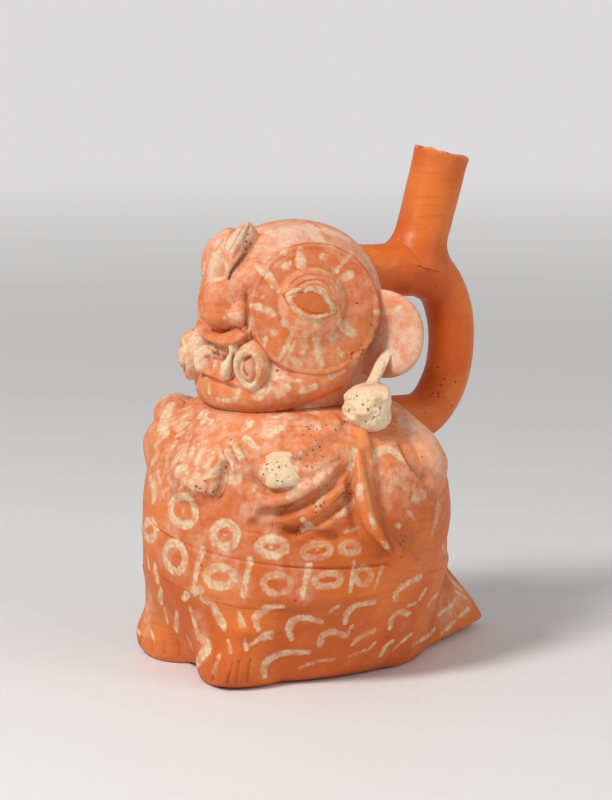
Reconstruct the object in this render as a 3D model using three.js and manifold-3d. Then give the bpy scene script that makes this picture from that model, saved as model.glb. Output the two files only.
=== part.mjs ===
// Handle spout vessel: a hollow moulded clay figure with an owl-like face, wings and a tail.
// A tube leaves the back of the head, carries a leaning spout and curves down to the back.
// The figure faces -Y, +Z is up, the floor is at Z = 0. Lengths are millimetres, angles degrees.
// An angle around the vessel is 0 at the front and grows towards the figure's left side (+X).

import * as THREE from 'three';
import { mergeVertices } from 'three/addons/utils/BufferGeometryUtils.js';
import Module from 'manifold-3d';

const wasm = await Module();
wasm.setup();

// Driving dimensions of the body
const gap = 0.3;                // clearance between pieces that seat on each other
const wall = 5;                 // thickness of the body and head walls
const slabThickness = 5;        // bottom slab
const shoulderHeight = 118;     // floor to the joint under the chin
const bellyHeight = 50;         // floor to the widest height
const bellyFront = 66.5;        // radius of the belly at the front
const bellySide = 67.5;         // radius of the belly at the sides
const bellyBack = 67.5;         // radius of the belly at the back
const neckRadius = 25;          // opening between body and head
const skirtHeight = 42;         // floor to the waist, where the skirt starts to draw in
const baseFront = 52;           // radius of the foot of the skirt at the front
const baseSide = 49;            // the same at the sides
const baseBack = 56;            // the same at the back
const footRound = 7;            // rounding of the lower edge

const tailReach = 107;          // body axis to the tip of the tail
const tailSlant = 64;           // direction that each straight tail side faces, from the back
const tailSide = 48.5;          // distance of each straight tail side from the body axis
const tailTop = 45;             // height where the tail leaves the back
const tailTip = 7;              // floor to the underside of the tip
const tailSpan = 66;            // half the angle that the tail takes of the base

const legAngle = 31;            // middle of each leg
const legSpan = 22;             // half the angle that a leg takes
const toeReach = 61.5;          // body axis to the line of the toes
const toeMost = 16.5;           // how far the toes stand out from the skirt at most

const beltWidth = 13;           // height of the upper band
const frontWidth = 6;           // how much wider the upper band is over the belly
const beltLift = 1.2;           // how far a band stands off the body
const beltHeight = 54.5;        // height of the line between the bands, on the figure's left
const beltTilt = 9.5;           // how much that line rises and falls around the body
const beltClimb = 3.5;          // how much more it rises on the figure's right
const beltFoot = 39;            // height of the lower band's lower edge, on the figure's left
const footTilt = 5;             // how much that edge rises and falls around the body
const footClimb = 12;           // how much more it rises on the figure's right
const footSag = 4.5;            // how much it sags over the left leg
const wingRise = 18;            // how much higher the right wing ends, clear of the belts

// Driving dimensions of the head
const headHeight = 157;         // floor to the centre of the head
const headForward = 1;          // how far the head centre is in front of the body axis
const headFront = 39;           // half sizes of the head from its centre
const headSide = 35;
const headBack = 41;
const headTop = 39.3;
const headBottom = 58;

const discRadius = 29;          // eye disc
const discOut = 32.5;           // how far each disc centre is from the middle plane
const discForward = 9;          // how far it is in front of the body axis
const discHeight = 161.3;       // floor to the disc centre
const discTurn = 70;            // direction that the disc faces, from the front
const discTilt = 9;             // how much it faces up
const discCrown = 4.6;          // how far the middle of the disc stands in front of its rim
const discRim = 0.8;            // height of the raised rim
const discThickness = 5;        // plate thickness where it stands free of the head

const lidMiddle = [-2, 3];      // middle of the lid mound, from the disc centre
const lidWidth = 14.6;          // half sizes of the lid mound: to the sides, up and down
const lidTall = 14.8;
const lidDeep = 18;
const lidRise = 4.6;            // height of the lid mound
const eyeMiddle = [-3.2, 2.4];  // middle of the eye, from the disc centre
const eyeLength = 12.6;         // half sizes of the eye
const eyeTall = 7.6;
const eyeTurn = -21;            // slant of the eye

const faceTurn = 8;             // how much the middle of the face is turned to the figure's left

const earTurn = 120;            // direction in which the ear stands out
const earOut = 43;              // body axis to the middle of the ear
const earHeight = 149;          // floor to the middle of the ear
const earWidth = 21;            // half sizes of the ear
const earTall = 19.5;
const earThickness = 9;         // depth of the ear's rounded back

const pendantOut = 48;          // place of the ear pendant on the shoulder
const pendantBack = 8;
const pendantHeight = 119;

// Driving dimensions of the handle and spout
const tubeRadius = 11;          // handle tube
const boreRadius = 6.5;         // bore of the handle tube
const spoutRadius = 12.2;       // spout
const spoutFoot = 11.2;         // radius of the spout where it sits on the tubes
const spoutBore = 8.6;          // bore of the spout
const spoutLength = 53;         // junction to the rim
const spoutLean = 16.5;         // lean of the spout towards the back
const junctionBack = 62;        // body axis to the junction of tubes and spout
const junctionHeight = 172;     // floor to the middle of the junction
const junctionSlope = 0.466;    // lean of the seam between the two tubes
const handleReach = 84;         // body axis to the middle of the handle where it is furthest back
const handleMiddle = 138;       // floor to that place
const handleFoot = 102;         // floor to where the handle enters the back

// Colours of the fired clay and the cream slip
const clay = { color: 0xc8662f, roughness: 0.55 };
const burnished = { color: 0xcf5f1f, roughness: 0.4 };
const pinkClay = { color: 0xcf7a4c, roughness: 0.65 };
const cream = { color: 0xe3cba0, roughness: 0.8 };

const rad = Math.PI / 180;
const cos = (angle) => Math.cos(angle * rad);
const sin = (angle) => Math.sin(angle * rad);
const clamp = (x, low, high) => Math.min(high, Math.max(low, x));
const mix = (a, b, t) => a + (b - a) * t;
const ease = (x) => {
  const t = clamp(x, 0, 1);
  return t * t * (3 - 2 * t);
};
const constant = (value) => () => value;

const vessel = new THREE.Group();

function add(name, geometry, finish) {
  const mesh = new THREE.Mesh(geometry, new THREE.MeshStandardMaterial({ metalness: 0, ...finish }));
  mesh.name = name;
  vessel.add(mesh);
}

// The mirror image of a piece, for the figure's other side.
function flip(geometry) {
  const mirrored = geometry.clone().scale(-1, 1, 1);
  const index = mirrored.index.array;
  for (let k = 0; k < index.length; k += 3) [index[k], index[k + 1]] = [index[k + 1], index[k]];
  return mirrored;
}

// Adds a piece of the figure's left side and its mirror image on the right.
function addPair(name, geometry, finish) {
  add(`left_${name}`, geometry, finish);
  add(`right_${name}`, flip(geometry), finish);
}

// Closed meshes and cuts

// Merges shared vertices and drops the triangles that a pole has squeezed to a line.
function weld(positions, triangles) {
  const loose = new THREE.BufferGeometry();
  loose.setAttribute('position', new THREE.Float32BufferAttribute(positions, 3));
  loose.setIndex(triangles);
  const merged = mergeVertices(loose, 1e-3);
  const index = merged.index.array;
  const kept = [];
  for (let k = 0; k < index.length; k += 3) {
    const [a, b, c] = [index[k], index[k + 1], index[k + 2]];
    if (a !== b && b !== c && c !== a) kept.push(a, b, c);
  }
  merged.setIndex(kept);
  return merged;
}

// A solid between an outer and an inner surface over the same grid, with walls along its borders.
// With ring set, the first and last columns are the same and the solid goes all the way round.
function slab(outer, inner, columns, rows, ring = false) {
  const positions = [];
  const triangles = [];
  const width = ring ? columns : columns + 1;
  for (const surface of [outer, inner]) {
    for (let j = 0; j <= rows; j++) {
      for (let i = 0; i < width; i++) positions.push(...surface(i / columns, j / rows));
    }
  }
  const at = (side, i, j) => side * width * (rows + 1) + j * width + (i % width);
  const quad = (a, b, c, d) => triangles.push(a, b, c, a, c, d);
  for (let j = 0; j < rows; j++) {
    for (let i = 0; i < columns; i++) {
      quad(at(0, i, j), at(0, i + 1, j), at(0, i + 1, j + 1), at(0, i, j + 1));
      quad(at(1, i, j), at(1, i, j + 1), at(1, i + 1, j + 1), at(1, i + 1, j));
    }
  }
  for (let i = 0; i < columns; i++) {
    quad(at(1, i, 0), at(1, i + 1, 0), at(0, i + 1, 0), at(0, i, 0));
    quad(at(0, i, rows), at(0, i + 1, rows), at(1, i + 1, rows), at(1, i, rows));
  }
  for (let j = 0; j < rows && !ring; j++) {
    quad(at(0, 0, j), at(0, 0, j + 1), at(1, 0, j + 1), at(1, 0, j));
    quad(at(1, columns, j), at(1, columns, j + 1), at(0, columns, j + 1), at(0, columns, j));
  }
  return weld(positions, triangles);
}

function toSolid(geometry) {
  return new wasm.Manifold(new wasm.Mesh({
    numProp: 3,
    vertProperties: new Float32Array(geometry.attributes.position.array),
    triVerts: new Uint32Array(geometry.index.array),
  }));
}

// Takes the tools away from a piece and keeps the largest body that is left.
function cut(geometry, ...tools) {
  const rest = tools.reduce((solid, tool) => solid.subtract(toSolid(tool)), toSolid(geometry));
  const parts = rest.decompose().sort((a, b) => b.volume() - a.volume());
  const mesh = parts[0].getMesh();
  return weld(Array.from(mesh.vertProperties), Array.from(mesh.triVerts));
}

// Surfaces of the body and the head. A chart turns two angles or heights and a radius into a point.

function superRadius(x, y, power) {
  return (Math.abs(x) ** power + Math.abs(y) ** power) ** (-1 / power);
}

// How much the rounded lower edge draws the wall in near the floor.
function rounding(height) {
  if (height >= footRound) return 0;
  return footRound - Math.sqrt(footRound ** 2 - (footRound - height) ** 2);
}

// Plain body: a belly that closes in to the neck, over a skirt that draws in to a squarer foot.
function bodyRadius(angle, height) {
  const front = cos(angle) > 0;
  const rise = clamp((height - bellyHeight) / (shoulderHeight - bellyHeight), 0, 1);
  const fullness = (1 - rise ** 3.3) ** 0.45;
  const across = mix(neckRadius, bellySide, fullness);
  const lengthways = mix(neckRadius, front ? bellyFront : bellyBack, fullness);
  const belly = superRadius(sin(angle) / across, cos(angle) / lengthways, 2);
  if (height >= skirtHeight) return belly;
  const foot = superRadius(sin(angle) / baseSide, cos(angle) / (front ? baseFront : baseBack), 2.6);
  const t = height / skirtHeight;
  return mix(foot, belly, mix(t, ease(t), 0.35)) - rounding(height);
}

// Plain head: a dome over a fuller jaw.
function headRadius(angle, rise) {
  const lengthways = cos(angle) > 0 ? headFront : headBack;
  const flat = superRadius(sin(angle) / headSide, cos(angle) / lengthways, 2.2);
  const tall = rise > 0 ? headTop : headBottom;
  return superRadius(cos(rise) / flat, sin(rise) / tall, rise > 0 ? 2.15 : 3);
}

const body = {
  point: (angle, height, radius) => [radius * sin(angle), -radius * cos(angle), height],
  radius: bodyRadius,
  size: [bellySide * rad, 1],
};

const head = {
  point: (angle, rise, radius) => [
    radius * cos(rise) * sin(angle),
    -headForward - radius * cos(rise) * cos(angle),
    headHeight + radius * sin(rise),
  ],
  radius: headRadius,
  size: [headFront * rad, headFront * rad],
};

const bedding = 1;              // how far a piece reaches under the surface before the shells are cut away

// Relief pieces: a footprint on a chart, and a height over the chart that falls off to its border.
// Each returns a function of its growth, so that a piece above it can be cut with the clearance.

// A relief along a line of stations, each [angle, height or rise, half width, lift].
function along(chart, stations, columns, rows, power = 0.7) {
  const [sizeU, sizeV] = chart.size;
  const line = new THREE.SplineCurve(stations.map(([u, v]) => new THREE.Vector2(u * sizeU, v * sizeV)));
  const last = stations.length - 1;
  const value = (s, k) => {
    const i = Math.min(last - 1, Math.floor(s * last));
    return mix(stations[i][k], stations[i + 1][k], s * last - i);
  };
  return (grow = 0) => {
    const place = (s, across) => {
      const p = line.getPoint(s);
      const d = line.getTangent(s);
      const t = across * 2 - 1;
      const ends = Math.sqrt(1 - Math.abs(2 * s - 1) ** 8);
      const w = (value(s, 2) * ends + grow) * t;
      const forward = grow * (2 * s - 1);
      const u = (p.x + d.x * forward - d.y * w) / sizeU;
      const v = (p.y + d.y * forward + d.x * w) / sizeV;
      return { u, v, lift: value(s, 3) * (0.15 + 0.85 * (1 - t * t) ** power * (0.35 + 0.65 * ends)) };
    };
    return reliefSlab(chart, place, columns, rows, false, grow);
  };
}

// A relief around a point with half sizes a and b, squarer with power and turned by an angle.
function around(chart, [u0, v0], [a, b], rise, columns, rows, { turn = 0, power = 2, shape } = {}) {
  const [sizeU, sizeV] = chart.size;
  const dome = shape ?? ((t) => 0.15 + 0.85 * (1 - t * t) ** 0.7);
  return (grow = 0) => {
    const place = (round, t) => {
      const angle = -360 * round;
      const r = (superRadius(cos(angle) / a, sin(angle) / b, power) + grow) * t;
      const u = u0 + (r * cos(angle + turn)) / sizeU;
      const v = v0 + (r * sin(angle + turn)) / sizeV;
      return { u, v, lift: rise * dome(t, angle) };
    };
    return reliefSlab(chart, place, columns, rows, true, grow);
  };
}

function reliefSlab(chart, place, columns, rows, ring, grow) {
  const outer = (i, j) => {
    const { u, v, lift } = place(i, j);
    return chart.point(u, v, chart.radius(u, v) + gap + lift + grow);
  };
  const inner = (i, j) => {
    const { u, v } = place(i, j);
    return chart.point(u, v, chart.radius(u, v) - bedding - 5 * grow);
  };
  return slab(outer, inner, columns, rows, ring);
}

// The outside of the two shells with the clearance, as solids. Every piece on them is cut by these.
const shellColumns = 16;
const shellRows = 12;
const headColumns = 14;
const headRows = 9;
const seam = (back) => (back ? gap : -gap) / 2;
const shellHeight = (j) => shoulderHeight * j ** 0.9;
const rimHeight = shoulderHeight + gap - headHeight;

// The rise at which the head meets the shoulders.
function lowestRise(angle) {
  let rise = -45;
  for (let k = 0; k < 30; k++) rise += (rimHeight - headRadius(angle, rise) * sin(rise)) * 0.5;
  return rise;
}

function bodyCore() {
  const surface = (i, j) => body.point(360 * i, shellHeight(j), bodyRadius(360 * i, shellHeight(j)) + gap);
  return slab(surface, (i, j) => [0, 0, shellHeight(j)], 2 * shellColumns, shellRows, true);
}

function headCore() {
  const surface = (i, j) => {
    const rise = mix(lowestRise(360 * i), 90, j);
    return head.point(360 * i, rise, headRadius(360 * i, rise) + gap);
  };
  const axis = (i, j) => [0, -headForward, surface(0, j)[2]];
  return slab(surface, axis, 2 * headColumns, headRows, true);
}
const ground = [bodyCore(), headCore()];

// A piece cut clear of the shells and of the pieces that lie under it.
const settle = (geometry, ...under) => cut(geometry, ...ground, ...under.map((other) => other(gap)));
const fit = (piece, ...under) => settle(piece(), ...under);

// Turns stations of the left side into those of the right, in the opposite order.
const mirror = (stations) => stations.map(([u, ...rest]) => [-u, ...rest]).reverse();
const sided = (side, stations) => (side > 0 ? stations : mirror(stations));

// A tube along a path in the middle plane. Its ends can be shifted along the path, to slant or chip them.
function tube(path, outerRadius, innerRadius, steps, sides, shift = constant(0)) {
  const ring = (radius) => (i, j) => {
    const [y, z] = path(j);
    const [y0, z0] = path(Math.max(0, j - 0.01));
    const [y1, z1] = path(Math.min(1, j + 0.01));
    const length = Math.hypot(y1 - y0, z1 - z0);
    const [ty, tz] = [(y1 - y0) / length, (z1 - z0) / length];
    const angle = -360 * i;
    const up = radius(j) * sin(angle);
    const slide = shift(j, up, angle);
    return [radius(j) * cos(angle), y - up * tz + slide * ty, z + up * ty + slide * tz];
  };
  return slab(ring(outerRadius), ring(innerRadius), sides, steps, true);
}
const solidCore = constant(0);

// A solid length of a clay roll along a curve. The whole roll is rounded at its two ends.
function roll(points, radii, from, to, extra, sides = 10, steps = 6) {
  const curve = new THREE.CatmullRomCurve3(points.map((p) => new THREE.Vector3(...p)));
  const up = new THREE.Vector3(0, 0, 1);
  const thickness = (t) => {
    const k = Math.min(radii.length - 2, Math.floor(t * (radii.length - 1)));
    const ends = Math.sqrt(1 - Math.abs(2 * t - 1) ** 6);
    return (mix(radii[k], radii[k + 1], t * (radii.length - 1) - k) + extra) * ends;
  };
  const surface = (i, j) => {
    const t = mix(from, to, j);
    const axis = curve.getTangentAt(t);
    const across = new THREE.Vector3().crossVectors(up, axis).normalize();
    const over = new THREE.Vector3().crossVectors(axis, across);
    const p = curve.getPointAt(t);
    p.addScaledVector(across, thickness(t) * cos(360 * i));
    p.addScaledVector(over, thickness(t) * sin(360 * i));
    return p.toArray();
  };
  return slab(surface, (i, j) => curve.getPointAt(mix(from, to, j)).toArray(), sides, steps, true);
}

// Body shells: a front and a back half that meet at the sides, and the slab that closes the foot
function bodyShell(back) {
  const middle = back ? 180 : 0;
  const place = (inset) => (i, j) => {
    const angle = middle - 90 + 180 * i;
    const height = shellHeight(j);
    const lowered = height - 0.6 * wall * inset * j ** 4;
    const p = body.point(angle, lowered, bodyRadius(angle, height) - wall * inset);
    if (i === 0 || i === 1) p[1] = seam(back);
    return p;
  };
  return slab(place(0), place(1), shellColumns, shellRows);
}

function baseSlab() {
  const rim = (i, height) => body.point(-360 * i, height, bodyRadius(-360 * i, 0) - wall - gap);
  const upper = (i, j) => (j === 0 ? [0, 0, slabThickness] : rim(i, slabThickness));
  const lower = (i, j) => (j === 0 ? [0, 0, 0] : rim(i, 0));
  return slab(upper, lower, 2 * shellColumns, 1, true);
}

// Belt lines: the bands are lower on the figure's left, and the upper one is wider over the belly.
const farSide = (angle) => ease(-sin(angle) / 0.6);
const beltLine = (angle) => beltHeight + beltTilt * (1 - sin(angle)) + beltClimb * farSide(angle);
const beltLow = (angle) => {
  const sag = footSag * Math.max(0, cos(angle - 38)) ** 8;
  return beltFoot + footTilt * (1 - sin(angle)) + footClimb * farSide(angle) - sag;
};
const atFront = (angle) => {
  const turned = ((angle + 180) % 360) - 180;
  return ease((36 - turned) / 26) * ease((turned + 75) / 30);
};
const beltTop = (angle) => beltLine(angle) + beltWidth + frontWidth * atFront(angle);

function band(bottom, top) {
  return (grow = 0) => {
    const surface = (lift) => (i, j) => {
      const angle = 360 * i;
      const height = mix(bottom(angle) + gap / 2 - grow, top(angle) - gap / 2 + grow, j);
      const worn = j > 0 && j < 1 ? lift : lift * 0.7;
      return body.point(angle, height, bodyRadius(angle, height) + (lift > 0 ? gap + worn + grow : -1));
    };
    return slab(surface(beltLift), surface(0), 2 * shellColumns, 2, true);
  };
}

// Tail: a wedge with straight sides on the back of the skirt, its underside slanting up to the tip
function tailLift(angle, height) {
  const fromBack = angle - 180;
  const sides = [[tailSlant, tailSide], [-tailSlant, tailSide], [0, tailReach]];
  const total = sides.reduce((sum, [way, d]) => sum + Math.max(0, cos(fromBack - way) / d) ** 18, 0);
  const t = clamp((height - 5) / (tailTop - 5), 0, 1) ** 1.15;
  const reach = mix(total ** (-1 / 18), bodyRadius(angle, tailTop), t);
  return mix(-1, reach - bodyRadius(angle, height), clamp(height / tailTip, 0, 1) ** 0.5);
}

// A solid between the body and an outline around it, from the floor to just below the belt.
function skirtPiece(middle, halfSpan, lift, columns, rows) {
  const surface = (extra) => (i, j) => {
    const angle = middle + halfSpan * (2 * i - 1);
    const height = (beltLow(angle) - 2 * gap) * j;
    return body.point(angle, height, bodyRadius(angle, height) + extra(angle, height));
  };
  return slab(surface(lift), surface(constant(-1)), columns, rows);
}

const thinEdge = 0.8;
const tailFace = (angle, height) => Math.max(gap + thinEdge, tailLift(angle, height));
const tail = skirtPiece(180, tailSpan, tailFace, 14, 6);

// Legs: columns under the belt that end in broad feet, steep towards each other
function leg(side) {
  return skirtPiece(side * legAngle, legSpan, (angle, height) => {
    const outward = (side * angle - legAngle) / legSpan;
    const across = 1 - Math.abs(outward) ** (outward > 0 ? 1.6 : 4);
    const toes = Math.min(toeReach / cos(angle * 0.92) - bodyRadius(angle, height), toeMost);
    const ankle = mix(1, 0.55, ease((height - 8) / 16)) * mix(1, 0.6, ease((height - 20) / 16));
    const hidden = ease((beltLow(angle) + 1 - height) / 12);
    return Math.max(gap + thinEdge, across * (toes - 0.4 * rounding(height)) * ankle * hidden);
  }, 9, 7);
}

// Handle and spout
const frontTubePath = (t) => [mix(20, junctionBack - gap / 2, t), junctionHeight];
const backTubePath = (t) => {
  const arcShare = 0.93;
  const turn = 90 - 180 * Math.min(1, t / arcShare);
  const straight = 14 * Math.max(0, (t - arcShare) / (1 - arcShare));
  const tall = turn > 0 ? junctionHeight - handleMiddle : handleMiddle - handleFoot;
  const out = handleReach - junctionBack;
  return [junctionBack + gap + out * cos(turn) - straight, handleMiddle + tall * sin(turn)];
};
const spoutPath = (t) => {
  const reach = spoutLength * t;
  return [junctionBack + 1 + reach * sin(spoutLean), junctionHeight + reach * cos(spoutLean)];
};
const flare = (t) => Math.max(0, t) ** 2;
const frontTubeRadius = (t) => tubeRadius + 0.6 * t ** 4 + 3 * flare(1 - t / 0.62);
const backTubeRadius = (t) => tubeRadius - 0.6 + 1.2 * (1 - t) ** 4 + 2.6 * Math.max(0, t - 0.8) ** 0.9;
const spoutTubeRadius = (t) => {
  return mix(spoutFoot, spoutRadius, ease(t / 0.3)) + 0.5 * t ** 8 + 2.2 * flare(1 - t / 0.28);
};

// The worn rim of the spout: chips given as [direction, half width, depth].
const rimChips = [[88, 14, 2], [20, 30, 0.8], [200, 35, 1.4], [300, 22, 1.2]];
const rimShift = (t, up, angle) => {
  if (t < 1) return 0;
  return -rimChips.reduce((sum, [way, width, depth]) => {
    const away = Math.abs(((angle - way + 900) % 360) - 180);
    return sum + depth * Math.max(0, 1 - (away / width) ** 2);
  }, 0);
};
const slanted = (end, extra) => (t, up) => (t === end ? extra - junctionSlope * up : 0);
const frontTube = (radius, inner, extra = 0) => tube(frontTubePath, radius, inner, 4, 12, slanted(1, extra));
const backTube = (radius, inner, extra = 0) => tube(backTubePath, radius, inner, 12, 12, slanted(0, -extra));

const bore = constant(boreRadius);
const spoutBoreTool = tube(spoutPath, constant(spoutBore), solidCore, 1, 18);
const opening = (y, z) => tube((t) => [y + 30 * t, z], bore, solidCore, 1, 12);

add('base_slab', baseSlab(), clay);
add('body_front_shell', bodyShell(false), clay);
add('body_back_shell', cut(bodyShell(true), opening(40, handleFoot)), clay);
add('tail', settle(tail), clay);
add('left_leg', settle(leg(1)), clay);
add('right_leg', settle(leg(-1)), clay);
const lowerBand = band(beltLow, beltLine);
const upperBand = band(beltLine, beltTop);
add('belt_lower_band', fit(lowerBand), clay);
add('belt_upper_band', fit(upperBand), clay);

add('handle_front_tube', cut(settle(frontTube(frontTubeRadius, bore)), spoutBoreTool), burnished);
add('handle_back_tube', cut(settle(backTube(backTubeRadius, bore)), spoutBoreTool), burnished);
const frontGrown = frontTube((t) => frontTubeRadius(t) + gap, solidCore, gap);
const backGrown = backTube((t) => backTubeRadius(t) + gap, solidCore, gap);
const spoutRaw = tube(spoutPath, spoutTubeRadius, constant(spoutBore), 7, 16, rimShift);
add('spout', cut(spoutRaw, frontGrown, backGrown), burnished);

// Body reliefs, from the lowest layer to the highest
const bandShape = (t) => 1 - 0.25 * t ** 6;
const collar = along(body, [[-84, 115, 2.6, 3], [0, 115.4, 2.6, 3.2], [84, 115, 2.6, 3]], 22, 3);
const clearOfCollar = () => collar(4 * gap);   // the body bends sharply there, so the clearance is wider
const bundle = around(body, [16, 93], [18, 15], 6, 18, 3, { power: 2.2 });
const rightSleeve = around(body, [-38, 104], [30, 13], 4.5, 16, 3);
const leftHem = along(body, [[62, 70, 3.5, 2], [71, 75, 4.5, 2.5], [80, 82, 5, 2.5]], 6, 3);
const leftFold = along(body, [[54, 75, 4, 2], [63, 80, 5.5, 3.2], [73, 88, 6, 4], [80, 96, 5, 3.5]], 7, 3);
const sleeveLine = [[48, 84, 4.5, 2.5], [57, 87, 6.5, 4.2], [69, 94, 7.5, 5], [80, 102, 6, 4]];
const leftSleeve = along(body, sleeveLine, 8, 3);
const armLine = [[84, 106, 6, 4.5], [74, 104, 8, 5.5], [62, 100, 8.5, 5.5], [51, 97, 8.5, 5.5]];
const leftArm = along(body, armLine, 9, 4);
const leftBand = around(body, [54.5, 96.8], [9, 8.4], 6.8, 16, 2, { power: 4, turn: 8, shape: bandShape });
const leftHand = along(body, [[46, 98, 7, 4.5], [38, 101, 8.5, 5.5], [30, 102, 8, 5]], 7, 4);
const panelShape = (t) => 1 - 0.55 * t ** 4;
const wingLine = [[92, 110, 5, 5], [88, 100, 6.5, 6], [86, 84, 7, 7], [91, 66, 7, 7], [106, 52, 5, 6]];
const lobeLine = [[130, 114, 5, 6], [127, 105, 10, 9], [124, 96, 14, 10], [122, 87, 9, 8]];
const lowest = wingLine[wingLine.length - 1][1];
const panel = (side) => {
  const [middle, tall] = side > 0 ? [80, 31] : [90, 25];
  return around(body, [side * 119, middle], [33, tall], 4.5, 20, 3, { power: 2.3, shape: panelShape });
};
const rib = (side) => {
  const floor = side > 0 ? lowest : lowest + wingRise;
  return along(body, sided(side, wingLine.map(([u, v, ...rest]) => [u, Math.max(v, floor), ...rest])), 12, 4);
};
const lobe = (side) => along(body, sided(side, lobeLine), 9, 4, 0.5);

add('collar', fit(collar), clay);
add('held_bundle', fit(bundle, collar, upperBand), clay);
add('right_sleeve', fit(rightSleeve, collar, bundle, rib(-1), upperBand), clay);
for (const [name, side] of [['left', 1], ['right', -1]]) {
  add(`${name}_wing`, fit(panel(side), lowerBand, upperBand), clay);
  add(`${name}_wing_edge`, fit(rib(side), lowerBand, upperBand, panel(side), collar), burnished);
  add(`${name}_shoulder_lobe`, fit(lobe(side), panel(side), rib(side)), pinkClay);
}
add('left_hem', fit(leftHem, upperBand, rib(1)), clay);
add('left_fold', fit(leftFold, upperBand, rib(1), leftHem), clay);
add('left_sleeve', fit(leftSleeve, upperBand, rib(1), leftFold), clay);
add('left_arm', fit(leftArm, collar, rib(1), leftSleeve, leftFold), clay);
add('left_wristband', fit(leftBand, collar, leftArm, leftSleeve), cream);
add('left_hand', fit(leftHand, collar, bundle, leftSleeve, leftArm, leftBand), clay);

// Head shells: a front and a back half over the neck opening, meeting above the ears
function headShell(back) {
  const middle = back ? 180 : 0;
  const place = (inset) => (i, j) => {
    const angle = middle - 90 + 180 * i;
    const rise = mix(lowestRise(angle), 90, j);
    const p = head.point(angle, rise, headRadius(angle, rise) - wall * inset);
    if (j === 0) p[2] = headHeight + rimHeight;
    if (i === 0 || i === 1 || j === 1) p[1] = seam(back) - headForward;
    return p;
  };
  return slab(place(0), place(1), headColumns, headRows);
}
add('head_front_shell', headShell(false), pinkClay);
add('head_back_shell', cut(headShell(true), opening(20, junctionHeight)), pinkClay);

// Eye discs: round plates on the sides of the face. x runs to the back, y up, and h outwards.
const discPoint = (x, y, h) => {
  const out = h * cos(discTilt) - y * sin(discTilt);
  return [
    discOut + x * cos(discTurn) + out * sin(discTurn),
    -discForward + x * sin(discTurn) - out * cos(discTurn),
    discHeight + y * cos(discTilt) + h * sin(discTilt),
  ];
};

// How far the head stands in front of the disc's plane, found by halving.
function headDepth(x, y) {
  const inside = (h) => {
    const [px, py, pz] = discPoint(x, y, h);
    const flat = Math.hypot(px, py + headForward);
    const rise = Math.atan2(pz - headHeight, flat) / rad;
    return Math.hypot(flat, pz - headHeight) < headRadius(Math.atan2(px, -py - headForward) / rad, rise);
  };
  let [low, high] = [-14, 20];
  if (!inside(low)) return low;
  for (let k = 0; k < 24; k++) {
    const middle = (low + high) / 2;
    if (inside(middle)) low = middle;
    else high = middle;
  }
  return low;
}

const discFront = (x, y) => {
  const t = Math.min(1, Math.hypot(x, y) / discRadius);
  const rim = discRim * Math.exp(-(((t - 0.955) / 0.035) ** 2));
  return Math.max(discCrown * (1 - t * t) + rim, headDepth(x, y) + gap + thinEdge);
};

// A plate in the disc's frame between two heights, over an outline given by its radius.
function plate(middle, radius, top, bottom, columns, rings, grow = 0) {
  const at = (height, extra) => (i, j) => {
    const r = (radius(-360 * i) + grow) * rings[Math.round(j * (rings.length - 1))];
    const x = middle[0] + r * cos(-360 * i);
    const y = middle[1] + r * sin(-360 * i);
    return discPoint(x, y, height(x, y, r / (radius(-360 * i) + grow), -360 * i) + extra);
  };
  return slab(at(top, grow), at(bottom, -grow), columns, rings.length - 1, true);
}

const discBack = (x, y) => Math.max(headDepth(x, y) - 1, discFront(x, y) - discThickness);
const discRings = [0, 0.4, 0.72, 0.91, 0.955, 1];
const disc = (grow = 0) => plate([0, 0], constant(discRadius), discFront, discBack, 26, discRings, grow);

// The lid mound on the disc, full above and drawn to a point below, with brow folds around its upper half
const lidRadius = (angle) => {
  const [tall, power] = sin(angle) > 0 ? [lidTall, 2.1] : [lidDeep, 1.7];
  return superRadius(cos(angle) / lidWidth, sin(angle) / tall, power);
};
const browFold = (t, place, height) => height * Math.exp(-(((t - place) / 0.055) ** 2));
const lidHeight = (t, angle) => {
  const folds = browFold(t, 0.86, 1.1) + browFold(t, 0.7, 1.3) + browFold(t, 0.55, 0.9);
  return lidRise * (1 - t ** 3.6) + folds * clamp(2.5 * sin(angle) - 0.75, 0, 1);
};
const lidTop = (x, y) => {
  const [dx, dy] = [x - lidMiddle[0], y - lidMiddle[1]];
  const angle = Math.atan2(dy, dx) / rad;
  const t = Math.min(1, Math.hypot(dx, dy) / lidRadius(angle));
  return discFront(x, y) + gap + thinEdge + lidHeight(t, angle);
};
const lidRings = [0, 0.48, 0.55, 0.62, 0.7, 0.78, 0.86, 1];
const lidBack = (x, y) => discFront(x, y) + gap;
const lid = (grow = 0) => plate(lidMiddle, lidRadius, lidTop, lidBack, 18, lidRings, grow);

// The almond eye on the lid mound, its outline two arcs that meet in points
const eyeRadius = (angle) => {
  const c = cos(angle - eyeTurn) / eyeLength;
  const d = Math.abs(sin(angle - eyeTurn)) / eyeTall;
  return 2 / (d + Math.sqrt(d * d + 4 * c * c));
};
const eyeTop = (x, y, t) => lidTop(x, y) + gap + thinEdge + 0.8 * (1 - t * t);
const eye = cut(plate(eyeMiddle, eyeRadius, eyeTop, discFront, 16, [0, 0.6, 1]), lid(gap));

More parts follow.
